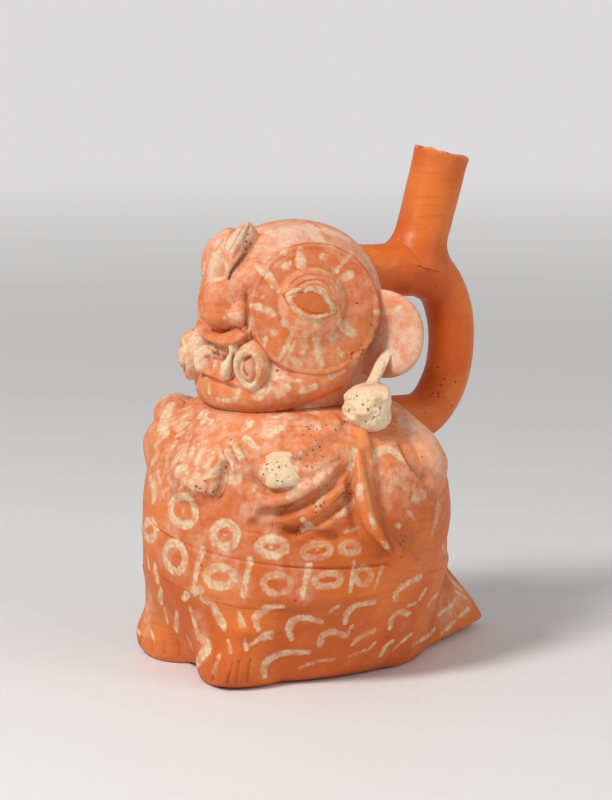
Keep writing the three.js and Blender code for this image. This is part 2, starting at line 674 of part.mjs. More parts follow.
// Ears: hollowed lobes that stand out behind the discs
function ear(grow = 0) {
  const at = (height) => (i, j) => {
    const angle = -360 * i;
    const r = superRadius(cos(angle) / (earWidth + grow), sin(angle) / (earTall + grow), 2.2) * j ** 0.7;
    const x = earOut + r * cos(angle);
    const h = height(j ** 0.7);
    return [
      x * sin(earTurn) + h * cos(earTurn) * -1,
      -x * cos(earTurn) - h * sin(earTurn),
      earHeight + r * sin(angle),
    ];
  };
  const hollow = (t) => (t < 0.8 ? 2.4 * (t / 0.8) ** 2 : 2.4 * (1 - ((t - 0.8) / 0.2) ** 2)) + grow;
  const rounded = (t) => -earThickness * Math.sqrt(1 - t * t) - grow;
  return slab(at(hollow), at(rounded), 18, 4, true);
}

// Ear pendants: a lump on each shoulder with a short strap up to the ear
function pendant() {
  const outline = [[0, -10.5], [5.5, -9.5], [9, -5.5], [9.6, 0], [8.4, 5], [4.6, 8.6], [3, 12.5], [0, 13.5]];
  const profile = (t) => outline[Math.round(t * (outline.length - 1))];
  const surface = (i, j) => {
    const [r, z] = profile(j);
    return [pendantOut + r * cos(360 * i), pendantBack + r * sin(360 * i), pendantHeight + z];
  };
  const axis = (i, j) => [pendantOut, pendantBack, pendantHeight + profile(j)[1]];
  return slab(surface, axis, 14, outline.length - 1, true);
}

// Face reliefs. The middle of the face is turned a little, so the right side mirrors the left about it.
const jawLine = [
  [-90, -35, 6, 4], [-45, -39, 7.5, 6], [8, -38.5, 9, 9], [50, -40, 7.5, 6], [95, -35, 6, 4.5],
];
const upperLipLine = [
  [-14, -6, 4.5, 4.5], [-5, -10.5, 5, 6], [7, -10.5, 5, 6.5], [20, -11, 5, 6], [31, -6, 4.5, 5],
];
const lowerLipLine = [
  [-12, -25, 3, 4], [0, -29.5, 3.6, 6.5], [10, -31, 3.6, 7], [21, -32, 3.4, 6.5], [30, -29, 2.5, 4],
];
const upperTeethLine = [[-4, -19, 2.4, 3.5], [7, -18.3, 3, 4.5], [18, -20, 2.4, 4]];
const lowerTeethLine = [[-2, -25.5, 2.4, 3.5], [7, -25.5, 3, 4.5], [16, -26.5, 2.4, 4]];
const beakLine = [[9.5, 2.5, 8.5, 9.5], [9.5, 9, 8, 9], [10, 14, 6.5, 8]];
const browLine = [[10, 12, 7, 7.5], [17, 19.5, 7.5, 6.5], [24, 26, 7, 5], [31, 31, 5.5, 3]];
const fangLine = [[22, -15, 3.4, 6], [21.5, -20, 3.4, 8], [19, -25, 3.8, 9], [17.5, -28, 4, 9.5]];
const leftTuftLine = [
  [20, 23, 2.5, 6], [21, 30, 4.5, 8.5], [20, 37, 7, 10], [18, 44, 8, 10.5], [16, 50, 6, 10], [15, 55, 3.5, 9],
];
const rightTuftLine = [[1, 44, 8, 11], [-1, 36, 11, 11.5], [1, 27, 10, 9], [4, 18, 6, 5]];
const acrossFace = (stations) => stations.map(([u, ...rest]) => [2 * faceTurn - u, ...rest]).reverse();
const eitherSide = (side, stations) => (side > 0 ? stations : acrossFace(stations));

// Across a mouth curl: a bead in the middle, then a ring, with a groove between them
const curlShape = (t) => {
  return 0.5 + 0.5 * Math.sqrt(1 - t * t) - 0.22 * Math.exp(-(((t - 0.42) / 0.1) ** 2)) - 0.35 * t ** 8;
};

const jaw = along(head, jawLine, 16, 4);
const beak = along(head, beakLine, 7, 5);
const brow = (side) => along(head, eitherSide(side, browLine), 7, 4);
const nostril = (side) => around(head, [side > 0 ? 24.5 : -8.5, 2], [7, 5], 3.4, 12, 3);
const upperLip = along(head, upperLipLine, 14, 4);
const lowerLip = along(head, lowerLipLine, 12, 3);
const upperTeeth = along(head, upperTeethLine, 8, 3, 0.3);
const lowerTeeth = along(head, lowerTeethLine, 8, 3, 0.3);
const fang = (side) => along(head, eitherSide(side, fangLine), 7, 3);
const curl = (side) => {
  const [middle, half, rise] = side > 0 ? [[34, -25], [7.6, 9.2], 8.5] : [[-18, -22], [8, 9.5], 13];
  return around(head, middle, half, rise, 14, 7, { shape: curlShape });
};
const mouth = [upperLip, lowerLip, upperTeeth, lowerTeeth];

const bothDiscs = [disc, (grow) => flip(disc(grow))];

add('lower_jaw', fit(jaw, clearOfCollar, ...bothDiscs), clay);
add('beak', fit(beak, ...bothDiscs), clay);
add('upper_lip', fit(upperLip, beak, ...bothDiscs), clay);
add('lower_lip', fit(lowerLip, jaw, ...bothDiscs), clay);
add('upper_teeth', fit(upperTeeth, upperLip), cream);
add('lower_teeth', fit(lowerTeeth, upperTeeth, lowerLip, jaw), cream);
addPair('eye_disc', fit(disc), clay);
addPair('eyelid', lid(), clay);
addPair('eye', eye, clay);
for (const [name, side] of [['left', 1], ['right', -1]]) {
  const first = side > 0 ? [] : [brow(1)];
  add(`${name}_brow`, fit(brow(side), beak, ...first, ...bothDiscs), clay);
  add(`${name}_nostril`, fit(nostril(side), beak, brow(side), upperLip, ...bothDiscs), clay);
  add(`${name}_fang`, fit(fang(side), ...mouth, jaw, ...bothDiscs), cream);
  add(`${name}_mouth_curl`, fit(curl(side), ...mouth, jaw, fang(side), ...bothDiscs), pinkClay);
}
const leftTuft = along(head, leftTuftLine, 10, 4, 0.5);
const rightTuft = along(head, rightTuftLine, 9, 4, 0.5);
const root = [beak, brow(1), brow(-1), ...bothDiscs];
add('right_tuft', fit(rightTuft, ...root), pinkClay);
add('left_tuft', fit(leftTuft, () => rightTuft(2 * gap), ...root), pinkClay);
addPair('ear', settle(ear(), () => disc(2 * gap)), pinkClay);
for (const [name, side] of [['left', 1], ['right', -1]]) {
  const facing = (piece) => (grow) => (side > 0 ? piece(grow) : flip(piece(grow)));
  const under = [panel(side), rib(side), lobe(side), collar, jaw, facing(disc), facing(ear)];
  add(`${name}_ear_pendant`, settle(facing(pendant)(), ...under), cream);
}

// The right arm is a roll of clay raised to the chin: upper arm, wristband and hand in a row
const armPoints = [[-61, 2, 97], [-52, -26, 105], [-34, -44, 110], [-17, -52, 111]];
const armRadii = [6, 9, 9.5, 8];
const underArm = [clearOfCollar, bundle, rightSleeve, jaw, rib(-1), panel(-1), lobe(-1)];
const wrist = [0.6, 0.74];
const armPart = (from, to, extra) => settle(roll(armPoints, armRadii, from, to, extra), ...underArm);
add('right_arm', armPart(0, wrist[0], 0), clay);
add('right_wristband', armPart(wrist[0] + gap / 60, wrist[1], 1), cream);
add('right_hand', armPart(wrist[1] + gap / 60, 1, 0), clay);

// The part's origin is in the middle of its outline, on the floor.
const middle = new THREE.Box3().setFromObject(vessel).getCenter(new THREE.Vector3());
vessel.position.set(-middle.x, -middle.y, 0);
export default vessel;
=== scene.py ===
"""A handle spout vessel of fired red clay, painted with cream slip, in a soft studio light.

Lengths are millimetres about the vessel's upright axis, +Z up. The figure faces -Y and its left side is +X.
An angle around the vessel is 0 at the front and grows towards the figure's left.
"""

import math

import bpy
import numpy as np
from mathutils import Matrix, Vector
from mathutils.bvhtree import BVHTree


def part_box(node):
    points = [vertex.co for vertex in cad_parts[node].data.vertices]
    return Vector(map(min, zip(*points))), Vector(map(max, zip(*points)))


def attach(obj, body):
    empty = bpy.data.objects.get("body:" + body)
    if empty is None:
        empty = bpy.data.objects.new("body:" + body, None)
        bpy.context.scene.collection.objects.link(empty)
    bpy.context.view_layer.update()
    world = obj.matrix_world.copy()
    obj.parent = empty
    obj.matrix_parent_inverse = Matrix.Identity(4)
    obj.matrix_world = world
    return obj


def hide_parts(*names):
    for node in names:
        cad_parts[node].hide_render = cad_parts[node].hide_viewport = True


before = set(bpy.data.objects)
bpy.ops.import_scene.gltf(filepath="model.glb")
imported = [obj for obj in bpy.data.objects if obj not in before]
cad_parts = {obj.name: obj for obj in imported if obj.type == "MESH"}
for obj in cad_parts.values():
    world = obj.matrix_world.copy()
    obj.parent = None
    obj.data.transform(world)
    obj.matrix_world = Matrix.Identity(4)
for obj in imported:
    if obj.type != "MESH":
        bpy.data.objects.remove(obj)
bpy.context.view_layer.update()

# Camera: the lens stands level with the figure's shoulders and to the left of its face, as in the photograph.
# Pixels are those of the photograph, 612 by 800. The vessel's axis is the joint of the two halves of the body.
photo_width, photo_height = 612, 800
camera_turn, camera_rise = 59.0, 10.0
camera_distance = 1240.0
camera_target = np.array([2.8, 4.6, 116.0])
focal_px = 2790.0
axis_y = 500 * (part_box("body_front_shell")[1].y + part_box("body_back_shell")[0].y)


def sin(angle):
    """The sine of an angle in degrees."""
    return np.sin(np.radians(angle))


def cos(angle):
    """The cosine of an angle in degrees."""
    return np.cos(np.radians(angle))


def to_scene(points):
    """Millimetres about the vessel's axis become metres in the frame of the whole part."""
    return (np.asarray(points, float) + np.array([0, axis_y, 0])) / 1000


towards_camera = np.array(
    [sin(camera_turn) * cos(camera_rise), -cos(camera_turn) * cos(camera_rise), sin(camera_rise)]
)
camera_place = camera_target + camera_distance * towards_camera
camera_right = np.array([cos(camera_turn), sin(camera_turn), 0.0])
camera_up = np.cross(towards_camera, camera_right)

sensor_mm = 36.0
lens_data = bpy.data.cameras.new("camera")
lens_data.sensor_fit = "HORIZONTAL"
lens_data.sensor_width = sensor_mm
lens_data.lens = sensor_mm * focal_px / photo_width
lens_data.clip_start = 0.1
camera = bpy.data.objects.new("camera", lens_data)
bpy.context.scene.collection.objects.link(camera)
camera.location = to_scene(camera_place)
camera.rotation_euler = Vector(-towards_camera).to_track_quat("-Z", "Y").to_euler()
bpy.context.scene.camera = camera

# Hollow body: a belly over a squarer skirt, of red clay pressed into two mould halves and joined at the sides.
# Forms are luted on to it by hand. They share one height above the plain body, so that the clay runs together.
# Its finish is the recipe for all the clay here: mottled by the fire, streaked by the pebble, hazy and worn.
shoulder_height = 118.0
belly_height = 50.0
belly_front, belly_side, belly_back = 66.5, 67.5, 67.5
neck_radius = 25.0
shoulder_power, shoulder_curve = 3.3, 0.45
skirt_height, skirt_ease, foot_power = 42.0, 0.35, 2.6
base_front, base_side, base_back = 52.0, 49.0, 56.0
foot_round = 7.0
uneven_waves = [[0.45, 17, 1], [0.22, 6.5, 2], [0.07, 2.4, 3]]
body_arc = belly_side * math.pi / 180


def mix(a, b, t):
    """From a to b in proportion to t."""
    return a + (b - a) * t


def ease(t):
    """From 0 to 1 with level ends: three times the square less twice the cube."""
    t = np.clip(t, 0, 1)
    return t * t * (3 - 2 * t)


def super_radius(x, y, power):
    """Distance to a superellipse of half size one, along the direction x, y."""
    return (np.abs(x) ** power + np.abs(y) ** power + 1e-12) ** (-1 / power)


def smooth_max(a, b, blend):
    """The larger of two heights, with a fillet of about the width of blend where they cross."""
    nearness = np.clip(1 - np.abs(a - b) / blend, 0, 1)
    return np.maximum(a, b) + nearness**2 * blend / 4


def rounding(height):
    """How much the rounded lower edge draws the wall in near the floor."""
    low = np.clip(height, 0, foot_round)
    return foot_round - np.sqrt(foot_round**2 - (foot_round - low) ** 2)


def body_plain(angle, height):
    """Radius of the plain body: an ellipse per height that closes in to the neck, over a squarer foot."""
    front = cos(angle) > 0
    rise = np.clip((height - belly_height) / (shoulder_height - belly_height), 0, 1)
    fullness = (1 - rise**shoulder_power) ** shoulder_curve
    across = mix(neck_radius, belly_side, fullness)
    lengthways = mix(neck_radius, np.where(front, belly_front, belly_back), fullness)
    belly = super_radius(sin(angle) / across, cos(angle) / lengthways, 2)
    base_long = np.where(front, base_front, base_back)
    foot = super_radius(sin(angle) / base_side, cos(angle) / base_long, foot_power)
    t = np.clip(height / skirt_height, 0, 1)
    return mix(foot, belly, mix(t, ease(t), skirt_ease)) - rounding(height)


def lattice_noise(points, size, seed):
    """Smooth noise from -1 to 1: random values at the corners of cubes of that size, blended between them."""
    q = points / size
    cell = np.floor(q).astype(np.int64)
    f = q - cell
    f = f * f * (3 - 2 * f)
    total = 0
    for corner in np.ndindex(2, 2, 2):
        c = cell + corner
        h = (c[..., 0] * 73856093) ^ (c[..., 1] * 19349663) ^ (c[..., 2] * 83492791) ^ (seed * 39916801)
        h = (h ^ (h >> 13)) * 1274126177 & 0x7FFFFFFF
        h = (h ^ (h >> 11)) & 0xFFFF
        weight = np.prod(np.where(corner, f, 1 - f), axis=-1)
        total = total + weight * (h / 32767.5 - 1)
    return total


def hand_made(points):
    """The unevenness that fingers and a pebble leave: waves of [height, size, seed] added up."""
    return sum(height * lattice_noise(points, size, seed) for height, size, seed in uneven_waves)


def srgb(red, green, blue):
    """A colour as a screen shows it, from 0 to 255, becomes the light that it gives off."""
    parts = [c / 255 for c in (red, green, blue)]
    return tuple(c / 12.92 if c <= 0.04 else ((c + 0.055) / 1.055) ** 2.4 for c in parts) + (1,)


cream_slip, stained_slip = srgb(232, 207, 170), srgb(214, 176, 136)
# Colours of the pits, of the dirt in the cut lines, and of the brown used for dirt and painted shade in
# hollows and creases.
pit_dark, old_dirt, dirt_and_shade_brown = srgb(104, 62, 42), srgb(118, 56, 28), srgb(134, 76, 46)


def fired_clay(name, light, deep, hazy, haze_most, gloss, streaked=0.6):
    """Clay mottled between two colours, streaked by the pebble, under haze, slip, dirt, painted shade and
    pits.
    """
    material = bpy.data.materials.new(name)
    material.use_nodes = True
    tree = material.node_tree
    nodes, links = tree.nodes, tree.links
    shader = nodes["Principled BSDF"]
    place = nodes.new("ShaderNodeTexCoord").outputs["Object"]

    def noise(scale, detail=3.0, stretch=(1, 1, 1)):
        """Cloudy noise in the clay, in waves per metre, squeezed along an axis by stretch."""
        turned = nodes.new("ShaderNodeMapping")
        turned.inputs["Scale"].default_value = stretch
        links.new(place, turned.inputs["Vector"])
        texture = nodes.new("ShaderNodeTexNoise")
        texture.inputs["Scale"].default_value = scale
        texture.inputs["Detail"].default_value = detail
        links.new(turned.outputs[0], texture.inputs["Vector"])
        return texture.outputs["Fac"]

    def painted(key):
        """A layer that is painted on to the piece, by its name."""
        attribute = nodes.new("ShaderNodeAttribute")
        attribute.attribute_name = key
        return attribute.outputs["Fac"]

    def ramp(value, low, high, to_low=0.0, to_high=1.0):
        """Eases from one number to another as the value goes from low to high."""
        node = nodes.new("ShaderNodeMapRange")
        node.interpolation_type = "SMOOTHSTEP"
        links.new(value, node.inputs["Value"])
        for socket, number in zip(("From Min", "From Max", "To Min", "To Max"), (low, high, to_low, to_high)):
            node.inputs[socket].default_value = number
        return node.outputs[0]

    def math_node(operation, a, b):
        """One sum of two numbers or outputs."""
        node = nodes.new("ShaderNodeMath")
        node.operation = operation
        for socket, value in zip(node.inputs, (a, b)):
            if isinstance(value, (int, float)):
                socket.default_value = value
            else:
                links.new(value, socket)
        return node.outputs[0]

    def blend(amount, a, b):
        """From colour a to colour b by the amount."""
        node = nodes.new("ShaderNodeMix")
        node.data_type = "RGBA"
        links.new(amount, node.inputs["Factor"])
        for socket, value in ((node.inputs[6], a), (node.inputs[7], b)):
            if isinstance(value, tuple):
                socket.default_value = value
            else:
                links.new(value, socket)
        return node.outputs[2]

    cloudy, patchy, fine, grain = noise(30, 4), noise(150, 4), noise(320, 4), noise(900, 2)
    streaks = noise(70, 4, (1, 1, 8))
    # The bare clay: clouds from the fire, and streaks that the pebble leaves around the vessel.
    colour = blend(ramp(cloudy, 0.38, 0.62), light, deep)
    colour = blend(ramp(streaks, 0.5, 0.68, 0, streaked), colour, deep)
    # Pale haze, laid on in places and worn through in patches, with darker specks of grit.
    worn = math_node("ADD", painted("haze"), ramp(noise(60, 5), 0.45, 0.75, 0, haze_most))
    worn = math_node("MULTIPLY", worn, ramp(patchy, 0.36, 0.62, 0.58, 1.1))
    worn = math_node("MULTIPLY", worn, ramp(fine, 0.3, 0.62, 0.66, 1.08))
    colour = blend(ramp(worn, 0.0, 1.0, 0, 0.9), colour, hazy)
    colour = blend(ramp(noise(1300, 3), 0.5, 0.72, 0, 0.4), colour, deep)
    # Cream slip: the painted stroke with a ragged edge, thinner where it is rubbed.
    waver = math_node("MULTIPLY", math_node("SUBTRACT", noise(520, 4), 0.5), 2.2)
    ragged = math_node("ADD", painted("slip"), waver)
    covered = math_node("MULTIPLY", ramp(ragged, -0.65, 0.45), painted("power"))
    covered = math_node("MULTIPLY", covered, ramp(noise(240, 5), 0.36, 0.6, 0.38, 1.0))
    slip_shade = blend(ramp(noise(620, 5), 0.42, 0.66), cream_slip, stained_slip)
    colour = blend(covered, colour, slip_shade)
    # Dirt and painted shade in the hollows, and dirt in the cut lines.
    dirt_and_shade_amount = math_node("MULTIPLY", painted("dirt_and_shade"), ramp(patchy, 0.35, 0.6, 0.35, 0.9))
    colour = blend(dirt_and_shade_amount, colour, dirt_and_shade_brown)
    colour = blend(ramp(painted("cut"), 0.1, 1.3, 0, 0.8), colour, old_dirt)
    # Pits: a few cells, chosen at random, each with a spot of its own size, wavy in outline.
    cells = nodes.new("ShaderNodeTexVoronoi")
    cells.inputs["Scale"].default_value = 640
    wobble = nodes.new("ShaderNodeTexNoise")
    wobble.inputs["Scale"].default_value = 700
    links.new(place, wobble.inputs["Vector"])
    bent = nodes.new("ShaderNodeVectorMath")
    bent.operation = "MULTIPLY_ADD"
    links.new(wobble.outputs["Color"], bent.inputs[0])
    bent.inputs[1].default_value = (0.0022, 0.0022, 0.0022)
    links.new(place, bent.inputs[2])
    links.new(bent.outputs[0], cells.inputs["Vector"])
    few = math_node("ADD", painted("pits"), 0.02)
    chosen = nodes.new("ShaderNodeSeparateColor")
    links.new(cells.outputs["Color"], chosen.inputs[0])
    is_pit = math_node("LESS_THAN", chosen.outputs[0], math_node("MULTIPLY", few, 0.42))
    size = math_node("MULTIPLY", math_node("ADD", chosen.outputs[1], 0.35), 0.34)
    within = ramp(math_node("SUBTRACT", size, cells.outputs["Distance"]), -0.04, 0.08)
    spot = math_node("MULTIPLY", is_pit, within)
    colour = blend(math_node("MULTIPLY", spot, 0.8), colour, pit_dark)
    links.new(colour, shader.inputs["Base Color"])
    polish = ramp(cloudy, 0.3, 0.7, gloss, gloss + 0.1)
    rough = math_node("ADD", polish, math_node("MULTIPLY", covered, 0.25))
    links.new(math_node("ADD", rough, math_node("MULTIPLY", worn, 0.15)), shader.inputs["Roughness"])
    shader.inputs["Specular IOR Level"].default_value = 0.3
    # Fine relief: grain, streaks, the thickness of the slip, and the depth of the pits.
    height = math_node("ADD", math_node("MULTIPLY", grain, 0.25), math_node("MULTIPLY", fine, 0.6))
    height = math_node("ADD", height, math_node("MULTIPLY", streaks, 0.5))
    height = math_node("ADD", height, math_node("MULTIPLY", covered, 0.35))
    height = math_node("SUBTRACT", height, math_node("MULTIPLY", spot, 1.6))
    bump = nodes.new("ShaderNodeBump")
    bump.inputs["Distance"].default_value = 0.00035
    bump.inputs["Strength"].default_value = 0.6
    links.new(height, bump.inputs["Height"])
    links.new(bump.outputs[0], shader.inputs["Normal"])
    return material


finishes = {
    "clay": fired_clay("red_clay", srgb(222, 120, 52), srgb(202, 94, 32), srgb(236, 184, 150), 0.35, 0.46),
}

# Tail: a wedge of clay luted on to the back of the skirt, straight sided, with its tip just off the floor.
# Its two sides stand tail_side from the axis and turn tail_slant from the back. The tip is cut off at
# tail_reach.
tail_reach, tail_slant, tail_side, tail_span = 116.0, 64.0, 49.3, 66.0
tail_top, tail_foot, tail_tip = 45.0, 5.0, 4.0
tail_corner, tail_widest = 10, 60.0


class Tail:
    """The wedge as a lift over the skirt: a soft polygon of two straight sides and a tip."""

    blend = 8.0

    def lift(self, angle, height):
        """Reach of the outline at the foot, drawn in with height to the skirt at tail_top, less the skirt."""
        from_back = angle % 360 - 180
        total = 0
        for way, distance in ((tail_slant, tail_side), (-tail_slant, tail_side), (0, tail_reach)):
            total = total + np.maximum(0, cos(from_back - way) / distance) ** tail_corner
        t = np.clip((height - tail_foot) / (tail_top - tail_foot), 0, 1) ** 1.15
        outline = (total + 1e-60) ** (-1 / tail_corner)
        plain = body_plain(angle, height)
        reach = mix(outline, body_plain(angle, np.full_like(plain, tail_top)), t)
        risen = np.clip(height / tail_tip, 0, 1) ** 0.25
        lift = mix(0.5, reach - plain, risen)
        aside, above = np.abs(from_back) - tail_widest, height - tail_top
        beyond = 0.8 * np.maximum(0, aside) + 0.9 * np.maximum(0, above)
        return np.where(np.abs(from_back) < 80, lift, -20) - beyond

    def grid(self, step, margin):
        """Angles and heights over the tail's footprint on the skirt."""
        angle = np.linspace(180 - tail_span, 180 + tail_span, 8 * round(tail_span * 3.2 / step / 8) + 1)
        height = np.linspace(0, tail_top + 4, 8 * round(tail_top / step / 8) + 1)
        return *np.meshgrid(angle, height), False


# Legs: clay columns luted on under the belt, which end in broad feet. Their toes are cut in with a point, and
# the legs are steep towards each other and run out softly to the side.
leg_angle, leg_span, toe_reach, toe_most = 31.0, 22.0, 61.5, 16.5
outer_power, inner_power = 1.6, 4


class Leg:
    """A leg as a lift over the skirt, furthest out at the toes and steep towards the other leg."""

    blend = 3.5

    def __init__(self, side):
        """The side is 1 for the figure's left and -1 for its right."""
        self.side = side

    def lift(self, angle, height):
        """Reach of the toes over the skirt, times a bulge across the leg, narrower at the ankle and shin."""
        outward = (self.side * ((angle + 180) % 360 - 180) - leg_angle) / leg_span
        across = 1 - np.abs(outward) ** np.where(outward > 0, outer_power, inner_power)
        toes = toe_reach / cos(np.clip(np.abs(angle), 0, 60) * 0.92) - body_plain(angle, height)
        toes = np.minimum(toes, toe_most) - 0.4 * rounding(height)
        ankle = mix(1, 0.55, ease((height - 8) / 16)) * mix(1, 0.6, ease((height - 20) / 16))
        hidden = ease((belt_low(angle) + 1 - height) / 12)
        return np.where(across > 0, across * toes * ankle * hidden, 12 * np.maximum(across, -3))

    def grid(self, step, margin):
        """Angles and heights over the leg, from the floor up to the belt."""
        edge = leg_span * 1.08
        columns = 8 * round(2 * edge * body_arc / step / 8) + 1
        angle = np.linspace(-edge, edge, columns) + self.side * leg_angle
        height = np.linspace(0, belt_low(30.0) + 2, 8 * round(skirt_height / step / 8) + 1)
        return *np.meshgrid(angle, height), False


# Belts: two flat bands of clay pressed around the waist, one above the other, which dip on the figure's left.
# The upper one widens over the belly and has no upper edge there.
belt_width, belt_lift, belt_height, belt_tilt, belt_climb = 13.0, 1.2, 54.5, 9.5, 3.5
belt_foot, foot_tilt, foot_climb, foot_sag = 39.0, 5.0, 12.0, 4.5
belt_edge, crease_deep, crease_half = 0.9, 0.35, 0.6


def far_side(angle):
    """0 on the figure's left, growing to 1 on its right."""
    return ease(-sin(angle) / 0.6)


def belt_line(angle):
    """Height of the line where the two bands meet."""
    return belt_height + belt_tilt * (1 - sin(angle)) + belt_climb * far_side(angle)


def belt_low(angle):
    """Height of the lower band's lower edge, which sags over the near leg."""
    sag = foot_sag * np.maximum(0, cos(angle - 38)) ** 8
    return belt_foot + foot_tilt * (1 - sin(angle)) + foot_climb * far_side(angle) - sag


def at_front(angle):
    """1 over the belly, where the upper band is wide and has no edge, and 0 elsewhere."""
    turned = (angle + 180) % 360 - 180
    return ease((36 - turned) / 26) * ease((turned + 75) / 30)


def belt_top(angle):
    """Height of the upper band's upper edge."""
    return belt_line(angle) + belt_width + 6 * at_front(angle)


def sharp(angle):
    """A crisp edge all around."""
    return belt_edge + 0 * angle


def soft_over_belly(angle):
    """A crisp edge that runs out over the belly."""
    return mix(belt_edge, 18.0, at_front(angle))


class Band:
    """A flat band between two lines around the body; fade is how wide its upper edge runs out."""

    blend = 0.8

    def __init__(self, bottom, top, fade):
        """All three are functions of the angle around the body."""
        self.bottom, self.top, self.fade = bottom, top, fade

    def lift(self, angle, height):
        """A flat lift with sloping edges, less a crease along each edge."""
        below, above = height - self.bottom(angle), self.top(angle) - height
        fade = self.fade(angle)
        low_crease = crease_deep * np.exp(-((below / crease_half) ** 2))
        high_crease = crease_deep * np.exp(-((above / crease_half) ** 2)) * (belt_edge / fade)
        flat = np.minimum(np.clip(below / belt_edge, -3, 1), np.clip(above / fade, -3, 1))
        return belt_lift * flat - (low_crease + high_crease)

    def grid(self, step, margin):
        """Angles all around, and heights from one edge to the other."""
        angle = np.linspace(0, 360, 8 * round(360 * body_arc / step / 8) + 1)
        rows = 8 * round(20 / step / 8)
        t = np.linspace(0, 1, rows + 1)[:, None]
        bottom, top = self.bottom(angle) - 0.6, self.top(angle) + 0.6
        return np.broadcast_to(angle, (rows + 1, angle.size)).copy(), mix(bottom, top, t), True


# Forms on the chest and back: rolls and pads of clay, luted on and smoothed down at their edges. They are the
# roll under the chin, the bundle, the arm with its cuff and mantle, the folded wings with the ridge in front,
# and the drop-shaped lobes over the wings. The ridges are burnished, the lobes hazy, and the cuff is cream.
finishes["burnished"] = fired_clay(
    "burnished_clay", srgb(226, 120, 48), srgb(204, 90, 26), srgb(226, 160, 112), 0.25, 0.36, 0.3
)
finishes["pink_clay"] = fired_clay(
    "hazy_clay", srgb(226, 142, 94), srgb(214, 118, 66), srgb(230, 194, 168), 0.55, 0.5
)
finishes["cream"] = fired_clay(
    "slipped_clay", srgb(232, 202, 162), srgb(222, 168, 122), srgb(236, 216, 186), 0.8, 0.6
)


def spline(stations, count):
    """Points of a Catmull-Rom curve through the stations, with their other values eased along it."""
    s = np.array(stations, float)
    padded = np.vstack([2 * s[0] - s[1], s, 2 * s[-1] - s[-2]])
    t = np.linspace(0, len(s) - 1, count)
    k = np.minimum(t.astype(int), len(s) - 2)
    f = (t - k)[:, None]
    a, b, c, d = padded[k], padded[k + 1], padded[k + 2], padded[k + 3]
    curve = 0.5 * (2 * b + (c - a) * f + (2 * a - 5 * b + 4 * c - d) * f**2 + (3 * b - a - 3 * c + d) * f**3)
    straight = mix(b, c, f)
    return np.hstack([curve[:, :2], straight[:, 2:]])


body_chart = np.array([body_arc, 1.0])


class Ridge:
    """Clay rolled along a line: [angle, height, half width, lift] at each station, round in section."""

    def __init__(self, stations, chart, blend=3.0, power=2.0):
        """The chart gives the millimetres to one unit of each of the stations' first two values."""
        self.blend, self.chart, self.power = blend, chart, power
        self.line = spline(stations, 8 * len(stations))
        self.line[:, :2] *= chart

    def lift(self, u, v):
        """Lift times one less the square of the distance over the half width, falling below 0 outside."""
        x, y = u * self.chart[0], v * self.chart[1]
        best = np.full(np.shape(x), 1e9)
        lift = np.zeros(np.shape(x))
        for a, b in zip(self.line[:-1], self.line[1:]):
            along = b[:2] - a[:2]
            t = np.clip(((x - a[0]) * along[0] + (y - a[1]) * along[1]) / (along @ along), 0, 1)
            far = np.hypot(x - a[0] - t * along[0], y - a[1] - t * along[1]) / mix(a[2], b[2], t)
            closer = far < best
            best = np.where(closer, far, best)
            lift = np.where(closer, mix(a[3], b[3], t), lift)
        return lift * np.where(best < 1, 1 - best**self.power, -self.power * (best - 1))

    def grid(self, step, margin):
        """Angles and heights over the roll's footprint, with half circles at its two ends."""
        line = self.line
        length = np.hypot(*np.diff(line[:, :2], axis=0).T)
        s = np.concatenate([[0], np.cumsum(length)])
        start, end = line[0, 2] * margin, line[-1, 2] * margin
        rows = 8 * max(2, round((s[-1] + start + end) / step / 8))
        columns = 8 * max(1, round(2 * line[:, 2].max() * margin / step / 8))
        q = -start + (s[-1] + start + end) * (1 - np.cos(np.pi * np.linspace(0, 1, rows + 1))) / 2
        q = mix(q, np.linspace(-start, s[-1] + end, rows + 1), 0.75)
        inside = np.clip(q, 0, s[-1])
        x, y, half = (np.interp(inside, s, line[:, k]) for k in range(3))
        heading = np.gradient(line[:, :2], axis=0)
        heading /= np.linalg.norm(heading, axis=1, keepdims=True)
        hx, hy = (np.interp(inside, s, heading[:, k]) for k in range(2))
        beyond = np.where(q < 0, -q / start, np.maximum(q - s[-1], 0) / end)
        half = half * margin * np.sqrt(np.clip(1 - beyond**2, 0, 1))
        t = np.linspace(-1, 1, columns + 1)[:, None]
        u = (x + hx * (q - inside) - hy * half * t) / self.chart[0]
        v = (y + hy * (q - inside) + hx * half * t) / self.chart[1]
        return u, v, False


